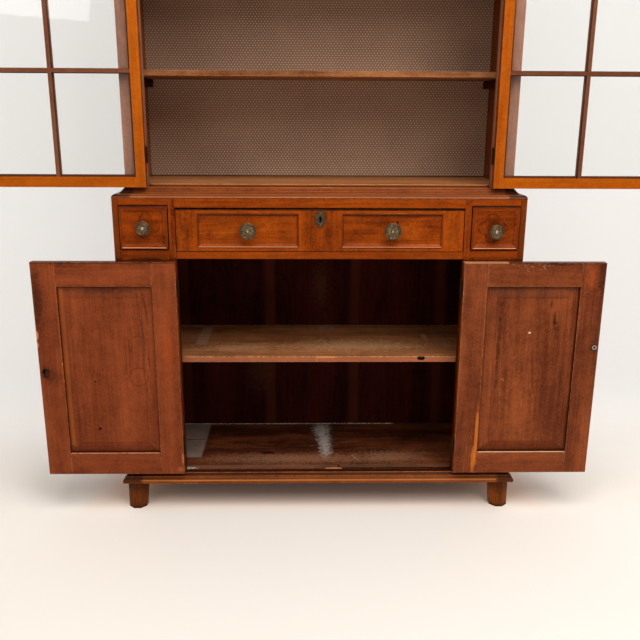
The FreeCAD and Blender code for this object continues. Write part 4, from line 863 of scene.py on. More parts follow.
LEFT_PANEL_MARKS = [
    # a painted highlight on the left slope of the panel
    patch((176, 92, 40), 0.5, (-782, -222, 230), (-765, -200, 735), 5),
    spot(INK_AND_SHADE, 0.45, at_door(-640, 732), (150, 20, 16), 0.5, 0.9),
    scratch(INK_AND_SHADE, 0.75, (-688, PANEL_Y, 720), (-686, PANEL_Y, 600), 2, 0.8),
    spot(NAIL_HOLE, 0.85, (-688.5, PANEL_Y, 444.2), (3.6, 5, 3.6), 0.5),
    spot(NAIL_HOLE, 0.9, (-684.4, PANEL_Y, 288.7), (5.5, 5, 5.5), 0.8),
    spot(NAIL_HOLE, 0.6, (-663, PANEL_Y, 348), (3, 5, 3), 0.5),
    scratch((176, 104, 62), 0.55, (-670, PANEL_Y, 566), (-640, PANEL_Y, 578), 2.4, 0.8),
    spot((82, 38, 22), 0.4, (-540, PANEL_Y, 600), (26, 20, 120), 0.8, 0.9)]
dress("lower_left_door_panel", wood(
    "left_cupboard_panel", POLISHED, "Z", inside=DOOR_BACK, seed=7.0,
    extra=bevel_painted_shade(-1, 0.7),
    marks=LEFT_PANEL_MARKS
    + ring_mark(0.6, (-554.9, 459.1), 29, 1.9) + ring_mark(0.45, (-549, 558.5), 31, 1.8)
    + line_through((50, 22, 14), 0.6, ((-532, 728), (-520, 660), (-514, 580), (-522, 517), (-508, 400),
                                       (-505, 290)), 3.4, 0.5)
    + line_through((58, 26, 16), 0.5, ((-548, 720), (-540, 640), (-530, 560), (-540, 500), (-528, 380)), 2.6)
    + line_through((58, 26, 16), 0.45, ((-572, 700), (-570, 560), (-580, 500), (-572, 420)), 2.4)))
dress("lower_right_door_frame", wood(
    "right_cupboard_door", POLISHED, "Z", inside=DOOR_BACK_RIGHT, seed=6.0,
    members=rail_members(1, PANEL_INNER, PANEL_OUTER, (PANEL_HIGH, 830), (120, PANEL_LOW)), marks=[
        spot(INK_AND_SHADE, 0.6, at_door(690, 818), (200, 8, 12), 0.8, 0.9),
        spot(INK_AND_SHADE, 0.45, at_door(846, 800), (22, 8, 90), 0.8, 0.9),
        patch((44, 18, 10), 0.6, (560, -222, 813.5), (860, -200, 820), 1.6),
        patch((216, 160, 120), 0.4, (424, -222, 814), (560, -200, 820), 1.4),
        spot((168, 76, 32), 0.5, at_door(812, 770), (22, 8, 60), 0.9, 0.9),
        *[scratch((226, 184, 146), 0.8, at_door(x, z), at_door(x + run, z - fall), 2.2, 0.9)
          for x, z, run, fall in (
              (566, 812, 26, 4), (606, 811, 14, 12), (628, 806, 30, 10), (640, 812, 52, 5),
              (664, 806, 10, 14), (700, 809, 24, 9), (612, 796, 12, 8), (690, 790, 12, 4))],
        scratch((226, 190, 150), 0.8, at_door(429, 812), at_door(429.5, 470), 2.6, 1.0),
        scratch((196, 140, 96), 0.6, at_door(429.5, 460), at_door(430, 140), 2.2, 1.0),
        scratch((196, 110, 50), 0.6, at_door(498.5, 742), at_door(498.5, 380), 2.2, 0.8),
        spot((206, 110, 34), 0.75, at_door(495, 262), (7, 6, 118), 0.4, 0.5),
        spot((206, 110, 34), 0.7, at_door(489, 180), (10, 6, 62), 0.5, 0.6),
        # a painted highlight along the rail at the foot of the panel
        scratch((222, 180, 142), 0.95, at_door(504, 207), at_door(778, 207), 2.8, 0.4),
        spot(INK_AND_SHADE, 0.35, at_door(845, 640), (20, 6, 200), 0.9, 0.9),
        spot(INK_AND_SHADE, 0.6, at_door(839, 553.5), (15, 6, 16), 0.4, 0.7)]))
dress("lower_right_door_panel", wood(
    "right_cupboard_panel", POLISHED, "Z", inside=DOOR_BACK_RIGHT, seed=9.0, extra=bevel_painted_shade(1, 1.0), marks=[
        spot((226, 196, 160), 0.9, (639, PANEL_Y, 599.9), (4.6, 6, 3.8), 0.6, 0.5),
        *[scratch((186, 96, 44), 0.6, (x, PANEL_Y, high), (x + 6, PANEL_Y, low), 3.4, 0.75)
          for x, low, high in ((566, 560, 668), (590, 480, 600), (604, 300, 470), (583, 250, 420),
                               (630, 260, 380), (648, 420, 520), (664, 300, 400), (560, 300, 420))],
        spot(INK_AND_SHADE, 0.7, (712, PANEL_Y, 637.7), (6, 6, 26), 0.9, 0.5),
        spot(INK_AND_SHADE, 0.5, (699, PANEL_Y, 690), (5, 6, 22), 0.9, 0.6),
        spot(INK_AND_SHADE, 0.5, (546, PANEL_Y, 560), (9, 6, 190), 1.2, 0.9),
        spot(INK_AND_SHADE, 0.45, (720, PANEL_Y, 600), (12, 6, 60), 1.2, 0.9),
        spot(INK_AND_SHADE, 0.4, (548, PANEL_Y, 690), (12, 6, 20), 1.2, 0.8),
        spot(INK_AND_SHADE, 0.3, (690, PANEL_Y, 480), (10, 6, 140), 1.0, 0.9),
        spot((168, 88, 42), 0.35, (620, PANEL_Y, 330), (60, 6, 150), 1.0, 0.9),
        scratch((196, 132, 90), 0.6, (563, PANEL_Y, 452), (570, PANEL_Y, 446), 2.5, 0.6),
        scratch((196, 132, 90), 0.6, (584, PANEL_Y, 540), (600, PANEL_Y, 520), 2.0, 0.8)]))
print("cupboard doors dressed,", len(bpy.data.materials), "materials so far")

# %% [markdown]
# ## Dressing the glazed doors
# Their frames are polished outside and paler within, and the slender bars between the panes are a cooler
# brown. Rails and level bars have grain that lies across, so they are members with grain of their own.

# %% Dress the glazed doors
for number, (side, sign) in enumerate(SIDES.items()):
    dress(f"upper_{side}_door_frame", wood(
        f"{side}_glazed_door", POLISHED, "Z", inside=GLAZED, seed=3.0 + number,
        members=rail_members(sign, 542, 979.5, (1020, 1066), (1934.5, 1990))))
    dress(f"upper_{side}_glazing_bars", wood(f"{side}_glazing_bars", BAR, "Z", seed=number, members=[
        ((-1000, -230, height), (1000, -140, height + 15), "X", 2.0) for height in (1345.7, 1639.8)]))

# %% [markdown]
# ## Dressing the drawers
# The wide front is built like a door, with upright grain on its ends and middle and lying grain on
# its rails and panels. Round both small knobs a dark flower shows, which is the ghost of an older
# plate with four lobes. Four circles make the flower, and folding it over its middle lines and its
# diagonals makes one circle do for all four.

# %% Dress the drawers
FLOWER_MIDDLE = {"left": (-513.0, 917.0), "right": (512.0, 914.0)}
WIDE_INNER, WIDE_OUTER, WIDE_LOW, WIDE_HIGH = 66.5, 361, 859.5, 952.5
WIDE_PANELS = ((-WIDE_OUTER, -WIDE_INNER), (WIDE_INNER, WIDE_OUTER))


def front_patch(colour, strength, low_x, low_z, high_x, high_z, soft):
    """A patch on the front of a drawer, given by its X and Z."""
    return patch(colour, strength, (low_x, -200, low_z), (high_x, -150, high_z), soft)


def sunk_edges(low_x, high_x):
    """Painted shade along the top and sides of a sunk panel and in a line below its foot, and a painted
    highlight along its foot.
    """
    dark, low_z, high_z = (30, 8, 2), WIDE_LOW, WIDE_HIGH
    return [front_patch(dark, 0.7, low_x - 1, high_z - 3.2, high_x + 1, high_z + 1, 1.4),
            front_patch(dark, 0.6, low_x - 1.4, low_z, low_x + 2.6, high_z, 1.4),
            front_patch(dark, 0.6, high_x - 2.6, low_z, high_x + 1.4, high_z, 1.4),
            front_patch(dark, 0.45, low_x, low_z - 6.4, high_x, low_z - 4, 0.9),
            front_patch((222, 146, 100), 0.75, low_x + 3, low_z - 3, high_x - 3, low_z - 0.4, 0.8)]


def dark_rim(name):
    """A dark line painted round the whole front of a drawer, along the gap round it."""
    (low_x, _, low_z), (high_x, _, high_z) = edges_of(name)
    return [front_patch(INK_AND_SHADE, 0.75, *ends, 0.8) for ends in (
        (low_x - 1, high_z - 1.8, high_x + 1, high_z + 1), (low_x - 1, low_z - 1, high_x + 1, low_z + 1.8),
        (low_x - 1, low_z, low_x + 1.6, high_z), (high_x - 1.6, low_z, high_x + 1, high_z))]


def ghost_flower(side, radius, strength):
    """Draws the four lobes of an older plate, radius wide in millimetres from the middle to the tip."""
    knob_x, knob_z = FLOWER_MIDDLE[side]

    def lay(w, place, colour):
        x, _, z = w.split(place)
        across = w.minus(x, knob_x * MM)
        upward = w.minus(z, knob_z * MM)
        aside, above = w.math("ABSOLUTE", across), w.math("ABSOLUTE", upward)
        along_lobe = w.minus(w.math("MAXIMUM", aside, above), radius * 0.55 * MM)
        away = w.vector("LENGTH", w.join(along_lobe, w.math("MINIMUM", aside, above), 0.0))
        wobble = w.times(w.minus(w.noise(place, 70.0, 3.0), 0.5), 13 * MM)
        rim = w.minus(w.plus(away, wobble), radius * 0.45 * MM)
        line = w.step(w.math("ABSOLUTE", rim), 5.0 * MM, 0.5 * MM)
        worn = w.step(w.noise(place, 45.0, 4.0), 0.35, 0.6, 0.1, 1.0)
        fill = w.times(w.step(rim, 2 * MM, -8 * MM), 0.6)
        mask = w.times(w.times(w.math("MAXIMUM", line, fill), worn), strength)
        return w.mix(mask, colour, srgb(52, 20, 6))

    return lay


FRONT_UPRIGHTS = [((low, -200, 840), (high, -160, 980), "Z", own) for low, high, own in
                  ((-427, -WIDE_OUTER, 1.1), (-WIDE_INNER, WIDE_INNER, 2.3), (WIDE_OUTER, 427, 3.7))]
FRONT_PANELS = [((low, -200, WIDE_LOW), (high, -160, WIDE_HIGH), "X", own)
                for (low, high), own in zip(WIDE_PANELS, (4.9, 6.1))]
dress("wide_drawer_front", wood(
    "wide_drawer_front", WIDE_FRONT, "X", seed=3.9, members=FRONT_UPRIGHTS + FRONT_PANELS,
    marks=sunk_edges(*WIDE_PANELS[0]) + sunk_edges(*WIDE_PANELS[1]) + dark_rim("wide_drawer_front") + [
        # painted shadow of the top rail along the top of the front
        patch(INK_AND_SHADE, 0.9, (-427, -192, 965.4), (427, -150, 970), 0.6),
        spot(WARM, 0.5, (250, DRAWER_Y, 905), (90, 12, 36), 0.8, 0.9),
        spot(WARM, 0.4, (-150, DRAWER_Y, 915), (60, 12, 30), 0.9, 0.9),
        spot(WARM, 0.3, (-290, DRAWER_Y, 900), (50, 12, 30), 0.9, 0.9),
        spot((190, 92, 20), 0.35, (395, DRAWER_Y, 890), (14, 12, 40), 1.0, 0.9),
        spot((20, 8, 4), 0.8, (230, DRAWER_Y, 929), (5, 8, 8), 0.8, 0.4),
        scratch((214, 130, 60), 0.6, (186, DRAWER_Y, 956), (256, DRAWER_Y, 957), 3, 0.8),
        *[spot(INK_AND_SHADE, strength, (x, DRAWER_Y, z), (half_width, 8, half_height), ragged, 0.9)
          for strength, x, z, half_width, half_height, ragged in (
              (0.45, -330, 898, 16, 50, 1.2), (0.4, 395, 905, 22, 60, 1.2), (0.4, -395, 915, 20, 60, 1.2),
              (0.4, 22, 900, 16, 50, 1.2), (0.35, -30, 905, 36, 60, 1.0), (0.35, 213.75, 904, 34, 34, 0.6),
              (0.35, -213.75, 904, 34, 34, 0.6))]]))
for side, seed, radius, strength in (("left", 1.5, 39, 0.65), ("right", 8.8, 42, 0.95)):
    name = f"{side}_drawer_front"
    dress(name, wood(name, SMALL_FRONT, "X", seed=seed, marks=dark_rim(name),
                     extra=ghost_flower(side, radius, strength)))
for number, name in enumerate(("wide_drawer_box", "left_drawer_box", "right_drawer_box")):
    dress(name, wood(name, DRAWER_OAK, "Y", seed=2.6 * number))
print("drawers dressed,", len(bpy.data.materials), "materials so far")


# %% [markdown]
# ## Old brass and iron
# The knobs were once bright brass. They are brown now, nearly black in the grooves and rubbed pale on
# whatever stands proud, so their colour comes from how shut in each point is and how fast the surface
# turns there. The hinges and the lock take the same recipe with other colours.

# %% Node group: tarnish on metal
def make_tarnish():
    tree, w, given, out = new_group(
        "Tarnish",
        {"Place": ORIGIN, "Openness": 1.0, "Bright": (0.3, 0.2, 0.1, 1),
         "Dull": (0.1, 0.07, 0.04, 1), "Black": (0.01, 0.008, 0.005, 1)},
        {"Color": BLACK, "Roughness": NUMBER})
    cloud = w.noise(given["Place"], 140.0, 4.0, 0.6)
    shut = w.minus(1.0, given["Openness"])
    proud = w.times(w.step(w.edge_turn(1.2), 0.02, 0.25), w.step(shut, 0.5, 0.2))
    colour = w.mix(w.plus(w.times(w.step(cloud, 0.35, 0.7), 0.4), proud, clamp=True),
                   given["Dull"], given["Bright"])
    w.put(out.inputs["Color"], w.mix(w.step(shut, 0.15, 0.6), colour, given["Black"]))
    w.put(out.inputs["Roughness"], w.plus(0.34, w.times(cloud, 0.3)))
    return tree


TARNISH = make_tarnish()


def metal(name, bright, dull, reach=5, marks=()):
    material, w, shader, coordinates = new_material(name)
    place = coordinates["Object"]
    tarnished = w.group(TARNISH, {"Place": place, "Openness": w.open_air(reach), "Bright": srgb(*bright),
                                  "Dull": srgb(*dull), "Black": srgb(16, 12, 8)})
    w.fill(shader, {"Base Color": lay_marks(w, place, tarnished["Color"], marks),
                    "Roughness": tarnished["Roughness"], "Metallic": 0.85})
    return material


KNOB_MIDDLES = [(-520, 913.75), (520, 905.75), (-213.75, 906), (213.75, 906)]
# The pale spot on the boss of each knob is a painted highlight.
knob_brass = metal("knob_brass", (168, 140, 104), (78, 60, 40), reach=3.0, marks=[
    spot((216, 194, 160), 0.75, (x, -212, z), (5.4, 8, 5.4), 0.1, 0.5) for x, z in KNOB_MIDDLES])
# The black keyhole painted on the plate is painted shade.
plate_brass = metal("plate_brass", (128, 104, 78), (66, 50, 34), reach=2.4, marks=[
    spot(HOLE_SHADE, 1.0, (0, -190, 944), (4.2, 6, 4.2), 0.1, 0.3),
    patch(HOLE_SHADE, 1.0, (-2.8, -192, 932), (2.8, -186, 943), 0.6)])
hinge_brass = metal("hinge_brass", (86, 62, 34), (46, 30, 15))
lock_iron = metal("lock_iron", (150, 146, 140), (84, 80, 76))
ring_steel = metal("ring_steel", (214, 210, 204), (150, 146, 140), reach=2)
for name in ("wide_drawer_knobs", "left_drawer_knob", "right_drawer_knob"):
    dress(name, knob_brass)
dress("keyhole_plate", plate_brass)
DOOR_BODIES = [f"{level}_{side}_door" for level, side in product(("lower", "upper"), SIDES)]
for name in ("fixed_hinge_leaves", "hinge_pins", *(f"{body}_hinge_leaves" for body in DOOR_BODIES)):
    dress(name, hinge_brass)
for name in ("drawer_lock", "lock_bolt"):
    dress(name, lock_iron)
dress("door_catch_ring", ring_steel)


# %% [markdown]
# ## The glass
# The panes are plain, faintly green and a little uneven. The light of the lamps has to come through them,
# or what is behind would lie in the dark, so a ray that only asks for shadow meets a clear surface.

# %% The glass
def make_glass():
    material, w, shader, coordinates = new_material("window_glass")
    tint = (0.975, 0.985, 0.98, 1)
    ripple = w.noise(coordinates["Object"], 14.0, 1.0)
    w.fill(shader, {"Base Color": tint, "Roughness": 0.02, "IOR": 1.45, "Transmission Weight": 1.0,
                    "Normal": w.bump(0.15, 0.3, ripple)})
    clear = w.node("ShaderNodeBsdfTransparent", {"Color": tint})
    shadow = w.node("ShaderNodeLightPath").outputs["Is Shadow Ray"]
    show(material, w.mix_shaders(shadow, shader.outputs[0], clear.outputs[0]))
    return material


glass = make_glass()
for side in SIDES:
    dress(f"upper_{side}_panes", glass)
print(f"{len(bpy.data.materials)} materials")

# %% [markdown]
# ## Turned, beaded and screwed things
# Small hardware carries most of the age of a piece like this, and it is too fine for the solids. All
# of it comes from six shapes: a profile turned round an axis, a row of beads, a half-round strip that
# is mitred round a rectangle, a ridge on an oval, a screw and a thin plank. A helper class gathers their
# points into one mesh, so that the knobs of a drawer or the screws of a door stay one piece.

# %% The shape helper
class Shape:
    """Gathers points and faces, in metres, and turns them into one piece."""

    def __init__(self):
        self.mesh = bmesh.new()

    def join_rings(self, rings):
        """Faces between each ring of points and the next."""
        for outer, inner in zip(rings, rings[1:]):
            for number in range(len(outer)):
                after = (number + 1) % len(outer)
                self.mesh.faces.new((outer[number], outer[after], inner[after], inner[number]))

    def turned(self, centre, profile, wave, steps=96):
        """A profile of (radius, height) in millimetres, turned round an axis that points to the front.
        wave gives an extra height for a radius and an angle."""
        rings = []
        for radius, height in profile:
            ring = []
            for step in range(steps):
                angle = step * math.tau / steps
                ring.append(self.mesh.verts.new((centre[0] + radius * MM * math.cos(angle),
                                                 centre[1] - (height + wave(radius, angle)) * MM,
                                                 centre[2] + radius * MM * math.sin(angle))))
            rings.append(ring)
        self.join_rings(rings)
        self.mesh.faces.new(rings[-1])

    def bead(self, centre, radius):
        made = bmesh.ops.create_icosphere(self.mesh, subdivisions=2, radius=radius * MM)
        bmesh.ops.translate(self.mesh, verts=made["verts"], vec=centre)

    def bead_row(self, centre, half_width, half_height, count, radius):
        """Beads on an oval that faces the front."""
        for number in range(count):
            angle = number * math.tau / count
            self.bead((centre[0] + half_width * MM * math.cos(angle), centre[1],
                       centre[2] + half_height * MM * math.sin(angle)), radius)

    def mitred_strip(self, low, high, front, width, height, rounds=6, outward=True):
        """A half-round strip round the rectangle from low to high (x, z), on the plane y = front.
        It lies outside the rectangle, or inside it."""
        sign = 1 if outward else -1
        rings = []
        for step in range(rounds + 1):
            angle = math.pi * step / rounds
            reach = sign * width * (0.5 - 0.5 * math.cos(angle))
            rise = front - height * math.sin(angle)
            rings.append([self.mesh.verts.new(metres(x, rise, z)) for x, z in
                          ((low[0] - reach, low[1] - reach), (high[0] + reach, low[1] - reach),
                           (high[0] + reach, high[1] + reach), (low[0] - reach, high[1] + reach))])
        self.join_rings(rings)

    def oval_strip(self, centre, half_width, half_height, width, height, steps=64):
        """A half-round ridge on an oval that faces the front."""
        rings = []
        for step in range(5):
            angle = math.pi * step / 4
            across = width * (0.5 - 0.5 * math.cos(angle)) - width / 2
            rise = centre[1] - height * MM * math.sin(angle)
            rings.append([self.mesh.verts.new((centre[0] + (half_width + across) * MM * math.cos(turn), rise,
                                               centre[2] + (half_height + across) * MM * math.sin(turn)))
                          for turn in (number * math.tau / steps for number in range(steps))])
        self.join_rings(rings)

    def screw(self, centre, towards, radius, turn, height):
        """A domed head with a slot, on a face that looks along towards."""
        towards = Vector(towards).normalized()
        side = towards.orthogonal().normalized()
        along = side * math.cos(turn) + towards.cross(side) * math.sin(turn)
        across = towards.cross(along)
        slot, sides = radius * 0.16, 7
        for half in (-1, 1):
            rim, crown = [], []
            start = math.asin(slot / radius)
            for number in range(sides + 1):
                angle = start + (math.pi - 2 * start) * number / sides
                for ring, share, rise in ((rim, 1.0, 0.0), (crown, 0.72, height)):
                    point = (along * math.cos(angle) + across * half * math.sin(angle)) * radius * share
                    if share < 1:
                        inner = max(abs(point.dot(across)), slot) * half
                        point = along * point.dot(along) + across * inner
                    ring.append(self.mesh.verts.new(Vector(centre) + (point + towards * rise) * MM))
            for number in range(sides):
                self.mesh.faces.new((rim[number], rim[number + 1], crown[number + 1], crown[number]))
            self.mesh.faces.new(crown)
            self.mesh.faces.new((rim[0], crown[0], crown[-1], rim[-1]))
        floor = [self.mesh.verts.new(Vector(centre) + (along * math.cos(angle) + across * math.sin(angle))
                                     * radius * 0.98 * MM + towards * 0.05 * MM)
                 for angle in (number * math.tau / 16 for number in range(16))]
        self.mesh.faces.new(floor)

    def plank(self, low, high):
        """A plain strip with slightly eased edges, from low to high in millimetres."""
        made = bmesh.ops.create_cube(self.mesh, size=1.0)["verts"]
        for vertex in made:
            vertex.co = Vector((low[axis] + (high[axis] - low[axis]) * (vertex.co[axis] + 0.5)) * MM
                               for axis in range(3))
        edges = {edge for vertex in made for edge in vertex.link_edges}
        bmesh.ops.bevel(self.mesh, geom=list(edges), offset=0.12 * MM, segments=1, affect="EDGES")

    def piece(self, name, body, material, slot_name, replaced=(), smooth=True):
        bmesh.ops.recalc_face_normals(self.mesh, faces=self.mesh.faces)
        mesh = bpy.data.meshes.new(name)
        self.mesh.to_mesh(mesh)
        self.mesh.free()
        for face in mesh.polygons:
            face.use_smooth = smooth
        made = add_object(name, mesh)
        if smooth:
            mesh.set_sharp_from_angle(angle=math.radians(38))
        mesh.materials.append(material)
        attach(made, body)
        if replaced:
            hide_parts(*replaced)


# %% [markdown]
# ## The knobs
# Each knob was cast and then turned: a foot, a waist, and a round face with a beaded rim, a groove, a
# ring, a dish of twelve petals and a boss. On the solids the face is plain, so these stand in for
# them. The petals are the profile pushed up and down by a wave as it goes round.

# %% Turn the knobs
def knob_piece(name, body, node, centres, radius):
    """The knobs of one drawer. Each part of the profile is a list of (radius, height) in millimetres."""
    shape = Shape()

    def petals(at_radius, angle):
        if not 6.6 < at_radius < radius - 8.0:
            return 0.0
        return 0.9 * abs(math.cos(6 * angle)) - 0.7

    foot = [(11, 0), (11, 2.2), (9.6, 3.2), (8.2, 5), (7.8, 9), (8.6, 13)]
    rim = [(radius - inward, height) for inward, height in (
        (5, 18.2), (0.5, 19.2), (0, 20.2), (0.2, 21.4), (1.0, 22.1), (1.4, 21.6), (3.4, 21.4), (3.9, 22.3),
        (4.6, 22.9), (5.4, 22.4), (6.0, 21.3), (7.2, 21.2), (8.2, 21.9))]
    dish = [(12, 22.1), (10, 22.4), (8.6, 22.4), (7.2, 21.9), (6.4, 21.8), (5.8, 22.3), (4.9, 23.2),
            (3.6, 23.8), (2.0, 24.1), (0.4, 24.2)]
    dish = [point for point in dish if point[0] < radius - 8.4]
    for x, y, z in centres:
        place = Vector(metres(x, y, z))
        shape.turned(place, foot + rim + dish, petals)
        shape.bead_row(place - Vector(metres(0, 21.7, 0)), radius - 2.4, radius - 2.4, 38, 1.15)
    shape.piece(name, body, knob_brass, "knob_metal", (node,))


KNOB_LENGTH = 24.0


def knob_seats(node, count):
    """The middle of each knob's foot, read from the solid. Two knobs sit at its left and right ends."""
    low, high = edges_of(node)
    half = (high[2] - low[2]) / 2
    height = (low[2] + high[2]) / 2
    seat = low[1] + KNOB_LENGTH
    if count == 1:
        return [((low[0] + high[0]) / 2, seat, height)], half
    return [(low[0] + half, seat, height), (high[0] - half, seat, height)], half


seats, radius = knob_seats("wide_drawer_knobs", 2)
knob_piece("turned_wide_drawer_knobs", "wide_drawer", "wide_drawer_knobs", seats, radius)
for side in SIDES:
    seats, radius = knob_seats(f"{side}_drawer_knob", 1)
    knob_piece(f"turned_{side}_drawer_knob", f"{side}_drawer", f"{side}_drawer_knob", seats, radius)
    print(side, "knob radius", round(radius, 2), "mm at", [round(v, 1) for v in seats[0]])

# %% [markdown]
# ## The keyhole plate
# The solid has the oval and its keyhole. A row of beads round the rim, two ridges inside it and two
# small screws finish it, as the photograph shows a pale dotted rim round a darker middle.

# %% Bead the keyhole plate
low, high = edges_of("keyhole_plate")
middle = ((low[0] + high[0]) / 2 * MM, (low[1] + 0.1) * MM, (low[2] + high[2]) / 2 * MM)
half_width, half_height = (high[0] - low[0]) / 2, (high[2] - low[2]) / 2
trim = Shape()
trim.bead_row(middle, half_width - 1.6, half_height - 1.6, 46, 1.25)
trim.oval_strip(middle, half_width - 4.2, half_height - 4.2, 1.6, 0.9)
trim.oval_strip(middle, half_width - 8.4, half_height - 10.0, 1.2, 0.7)
for sign in (-1, 1):
    trim.screw(Vector(middle) + Vector(metres(0, 0, sign * (half_height - 7.0))), (0, -1, 0), 1.5, 0.4, 0.6)
trim.piece("keyhole_plate_beading", "wide_drawer", knob_brass, "lock_metal")
print(f"keyhole plate {2 * half_width:.1f} by {2 * half_height:.1f} mm")

# %% [markdown]
# ## Beads round the drawers
# A thin half-round bead stands round each panel of the wide drawer, and a wider one round the edge of
# each small drawer. Along the bottom they carry a painted highlight, with painted shade under it on the
# small drawers, and along the top painted shade, which is what draws the panels.

# %% Run the beads
BEAD = Wood((132, 54, 10), (76, 24, 4), figure=0.3, rings=0.0, grime_and_shade=1.0, wear=0.35, bare=(206, 136, 90),
            rough=0.3, gloss=0.15, reach=5)
LIT_LINE = (232, 152, 104)
# Painted highlights along the feet of the beads, and painted shade along their tops and under the small
# drawers' feet.
bead_lines = []
for low_x, high_x in WIDE_PANELS:
    bead_lines += [front_patch(LIT_LINE, 0.95, low_x, 855.8, high_x, 858.4, 0.7),
                   front_patch(INK_AND_SHADE, 0.6, low_x - 4, 952.8, high_x + 4, 957, 0.8)]
for side in SIDES:
    (low_x, _, low_z), (high_x, _, high_z) = edges_of(f"{side}_drawer_front")
    bead_lines += [front_patch(LIT_LINE, 0.8, low_x + 6, low_z + 4.6, high_x - 6, low_z + 7.2, 0.7),
                   front_patch(INK_AND_SHADE, 0.9, low_x + 4, low_z + 0.2, high_x - 4, low_z + 3.4, 0.7),
                   front_patch(INK_AND_SHADE, 0.7, low_x, high_z - 3.4, high_x, high_z, 0.8)]
bead_wood = wood("drawer_beads", BEAD, "X", seed=4.0, marks=bead_lines)
front_face = edges_of("wide_drawer_front")[0][1]
for side, (low_x, high_x) in zip(SIDES, WIDE_PANELS):
    strip = Shape()
    strip.mitred_strip((low_x, WIDE_LOW), (high_x, WIDE_HIGH), front_face, 3.4, 1.5)
    strip.piece(f"wide_drawer_{side}_panel_bead", "wide_drawer", bead_wood, "drawer_wood")
    low, high = edges_of(f"{side}_drawer_front")
    strip = Shape()
    strip.mitred_strip((low[0] + 0.4, low[2] + 0.4), (high[0] - 0.4, high[2] - 0.4), low[1], 7.0, 1.7,
                       outward=False)
    strip.piece(f"{side}_drawer_cock_bead", f"{side}_drawer", bead_wood, "drawer_wood")
print(len(bead_lines), "lines of light and dark on the beads")

# %% [markdown]
# ## Screws and nails
# Each hinge leaf is let into the wood and held by screws with filed slots, which never line up on old
# work. Their places come from the leaves themselves. The back boards are nailed to the case, two
# nails to a board at each rail and shelf.

# %% Drive the screws and nails
random.seed(11)


def separate_boxes(name):
    """The corners of each loose part of a solid, in metres, found by walking from point to point."""
    solid = nodes[name]
    mesh = bmesh.new()
    mesh.from_mesh(solid.data)
    mesh.transform(solid.matrix_world)
    unseen, boxes = set(mesh.verts), []
    while unseen:
        edge_of_search, part = [unseen.pop()], []
        while edge_of_search:
            point = edge_of_search.pop()
            part.append(point.co.copy())
            for link in point.link_edges:
                other = link.other_vert(point)
                if other in unseen:
                    unseen.discard(other)
                    edge_of_search.append(other)
        boxes.append([Vector(choose(co[axis] for co in part) for axis in range(3)) for choose in (min, max)])
    mesh.free()
    return boxes


LEAF_FACE, SCREW_INSET, SCREW_RADIUS = 4.55, 8.4, 2.7


def screw_the_leaves(node, body, fixed):
    """Two screws through each leaf, on the side that faces the doorway when the doors are open."""
    shape = Shape()
    for low, high in separate_boxes(node):
        sign = 1 if low.x + high.x > 0 else -1
        knuckle = low.x if sign > 0 else high.x
        plate_x = knuckle + sign * LEAF_FACE * MM
        y = high.y - SCREW_INSET * MM if fixed else low.y + SCREW_INSET * MM
        height = high.z - low.z
        for share in (0.22, 0.78):
            slot_turn = random.uniform(0, math.pi)
            shape.screw((plate_x, y, low.z + height * share), (-sign, 0, 0), SCREW_RADIUS, slot_turn, 0.35)
    shape.piece(f"{node}_screws", body, hinge_brass, "hinge_metal")


screw_the_leaves("fixed_hinge_leaves", "case", True)
for body in DOOR_BODIES:
    screw_the_leaves(f"{body}_hinge_leaves", body, False)


FROM_END, BESIDE_JOINT, NAIL_RADIUS = 10, 18, 2.6


def nail_the_back(name, node, heights):
    """Nails on both sides of each joint and along the two ends of a back, a little out of line."""
    low, high = edges_of(node)
    shape = Shape()
    for joint in (*BACK_JOINTS, low[0] + FROM_END, high[0] - FROM_END):
        for offset in ((-BESIDE_JOINT, BESIDE_JOINT) if joint in BACK_JOINTS else (0,)):
            for height in heights:
                x = joint + offset + random.uniform(-4, 4)
                shape.screw(metres(x, high[1], height + random.uniform(-3, 3)), (0, 1, 0), NAIL_RADIUS,
                            random.uniform(0, math.pi), 0.5)
    shape.piece(name, "case", lock_iron, "hinge_metal")


nail_the_back("cupboard_back_nails", "base_back_boards", (112, 496, 990))
nail_the_back("glazed_case_back_nails", "upper_back_boards", (1021, 1354, 1648, 2062))

# %% [markdown]
# ## Tongues between the back boards
# Boards shrink across their grain, so the joints in a back open up. A loose tongue in each joint
# keeps the dust and the light out. Without it, the white wall would show as a bright thread.

# %% Slip in the tongues
HALF_TONGUE = 0.49
tongue_wood = wood("back_tongues", CARCASE, "Z", seed=6.4)
for name, node in (("cupboard_back_tongues", "base_back_boards"),
                   ("glazed_case_back_tongues", "upper_back_boards")):
    low, high = edges_of(node)
    shape = Shape()
    for joint in BACK_JOINTS:
        shape.plank((joint - HALF_TONGUE, low[1] + 3, low[2] + 1),
                    (joint + HALF_TONGUE, high[1] - 3, high[2] - 1))
    shape.piece(name, "case", tongue_wood, "back_wood", smooth=False)
print(len(BACK_JOINTS), "tongues in each back")

# %% [markdown]
# ## Floor and wall
# The press was photographed on a pale cream floor that curves up into a near-white wall. A curved
# sheet does the same, and its back is made clear so that the press can be looked at from behind.

# %% The backdrop
WALL_Y, WALL_TOP, BEND, REACH = 0.60, 7.0, 0.16, 9.0


def make_backdrop():
    mesh = bpy.data.meshes.new("backdrop")
    rows = [(-REACH, 0.0), (WALL_Y - BEND, 0.0)]
    rows += [(WALL_Y - BEND + BEND * math.sin(math.radians(a)), BEND - BEND * math.cos(math.radians(a)))
             for a in range(6, 91, 6)]
    rows += [(WALL_Y, WALL_TOP)]
    corners = [(x, y, z) for y, z in rows for x in (-REACH, REACH)]
    faces = [(2 * i, 2 * i + 1, 2 * i + 3, 2 * i + 2) for i in range(len(rows) - 1)]
    mesh.from_pydata(corners, [], faces)
    for face in mesh.polygons:
        face.use_smooth = True
    return add_object("backdrop", mesh)


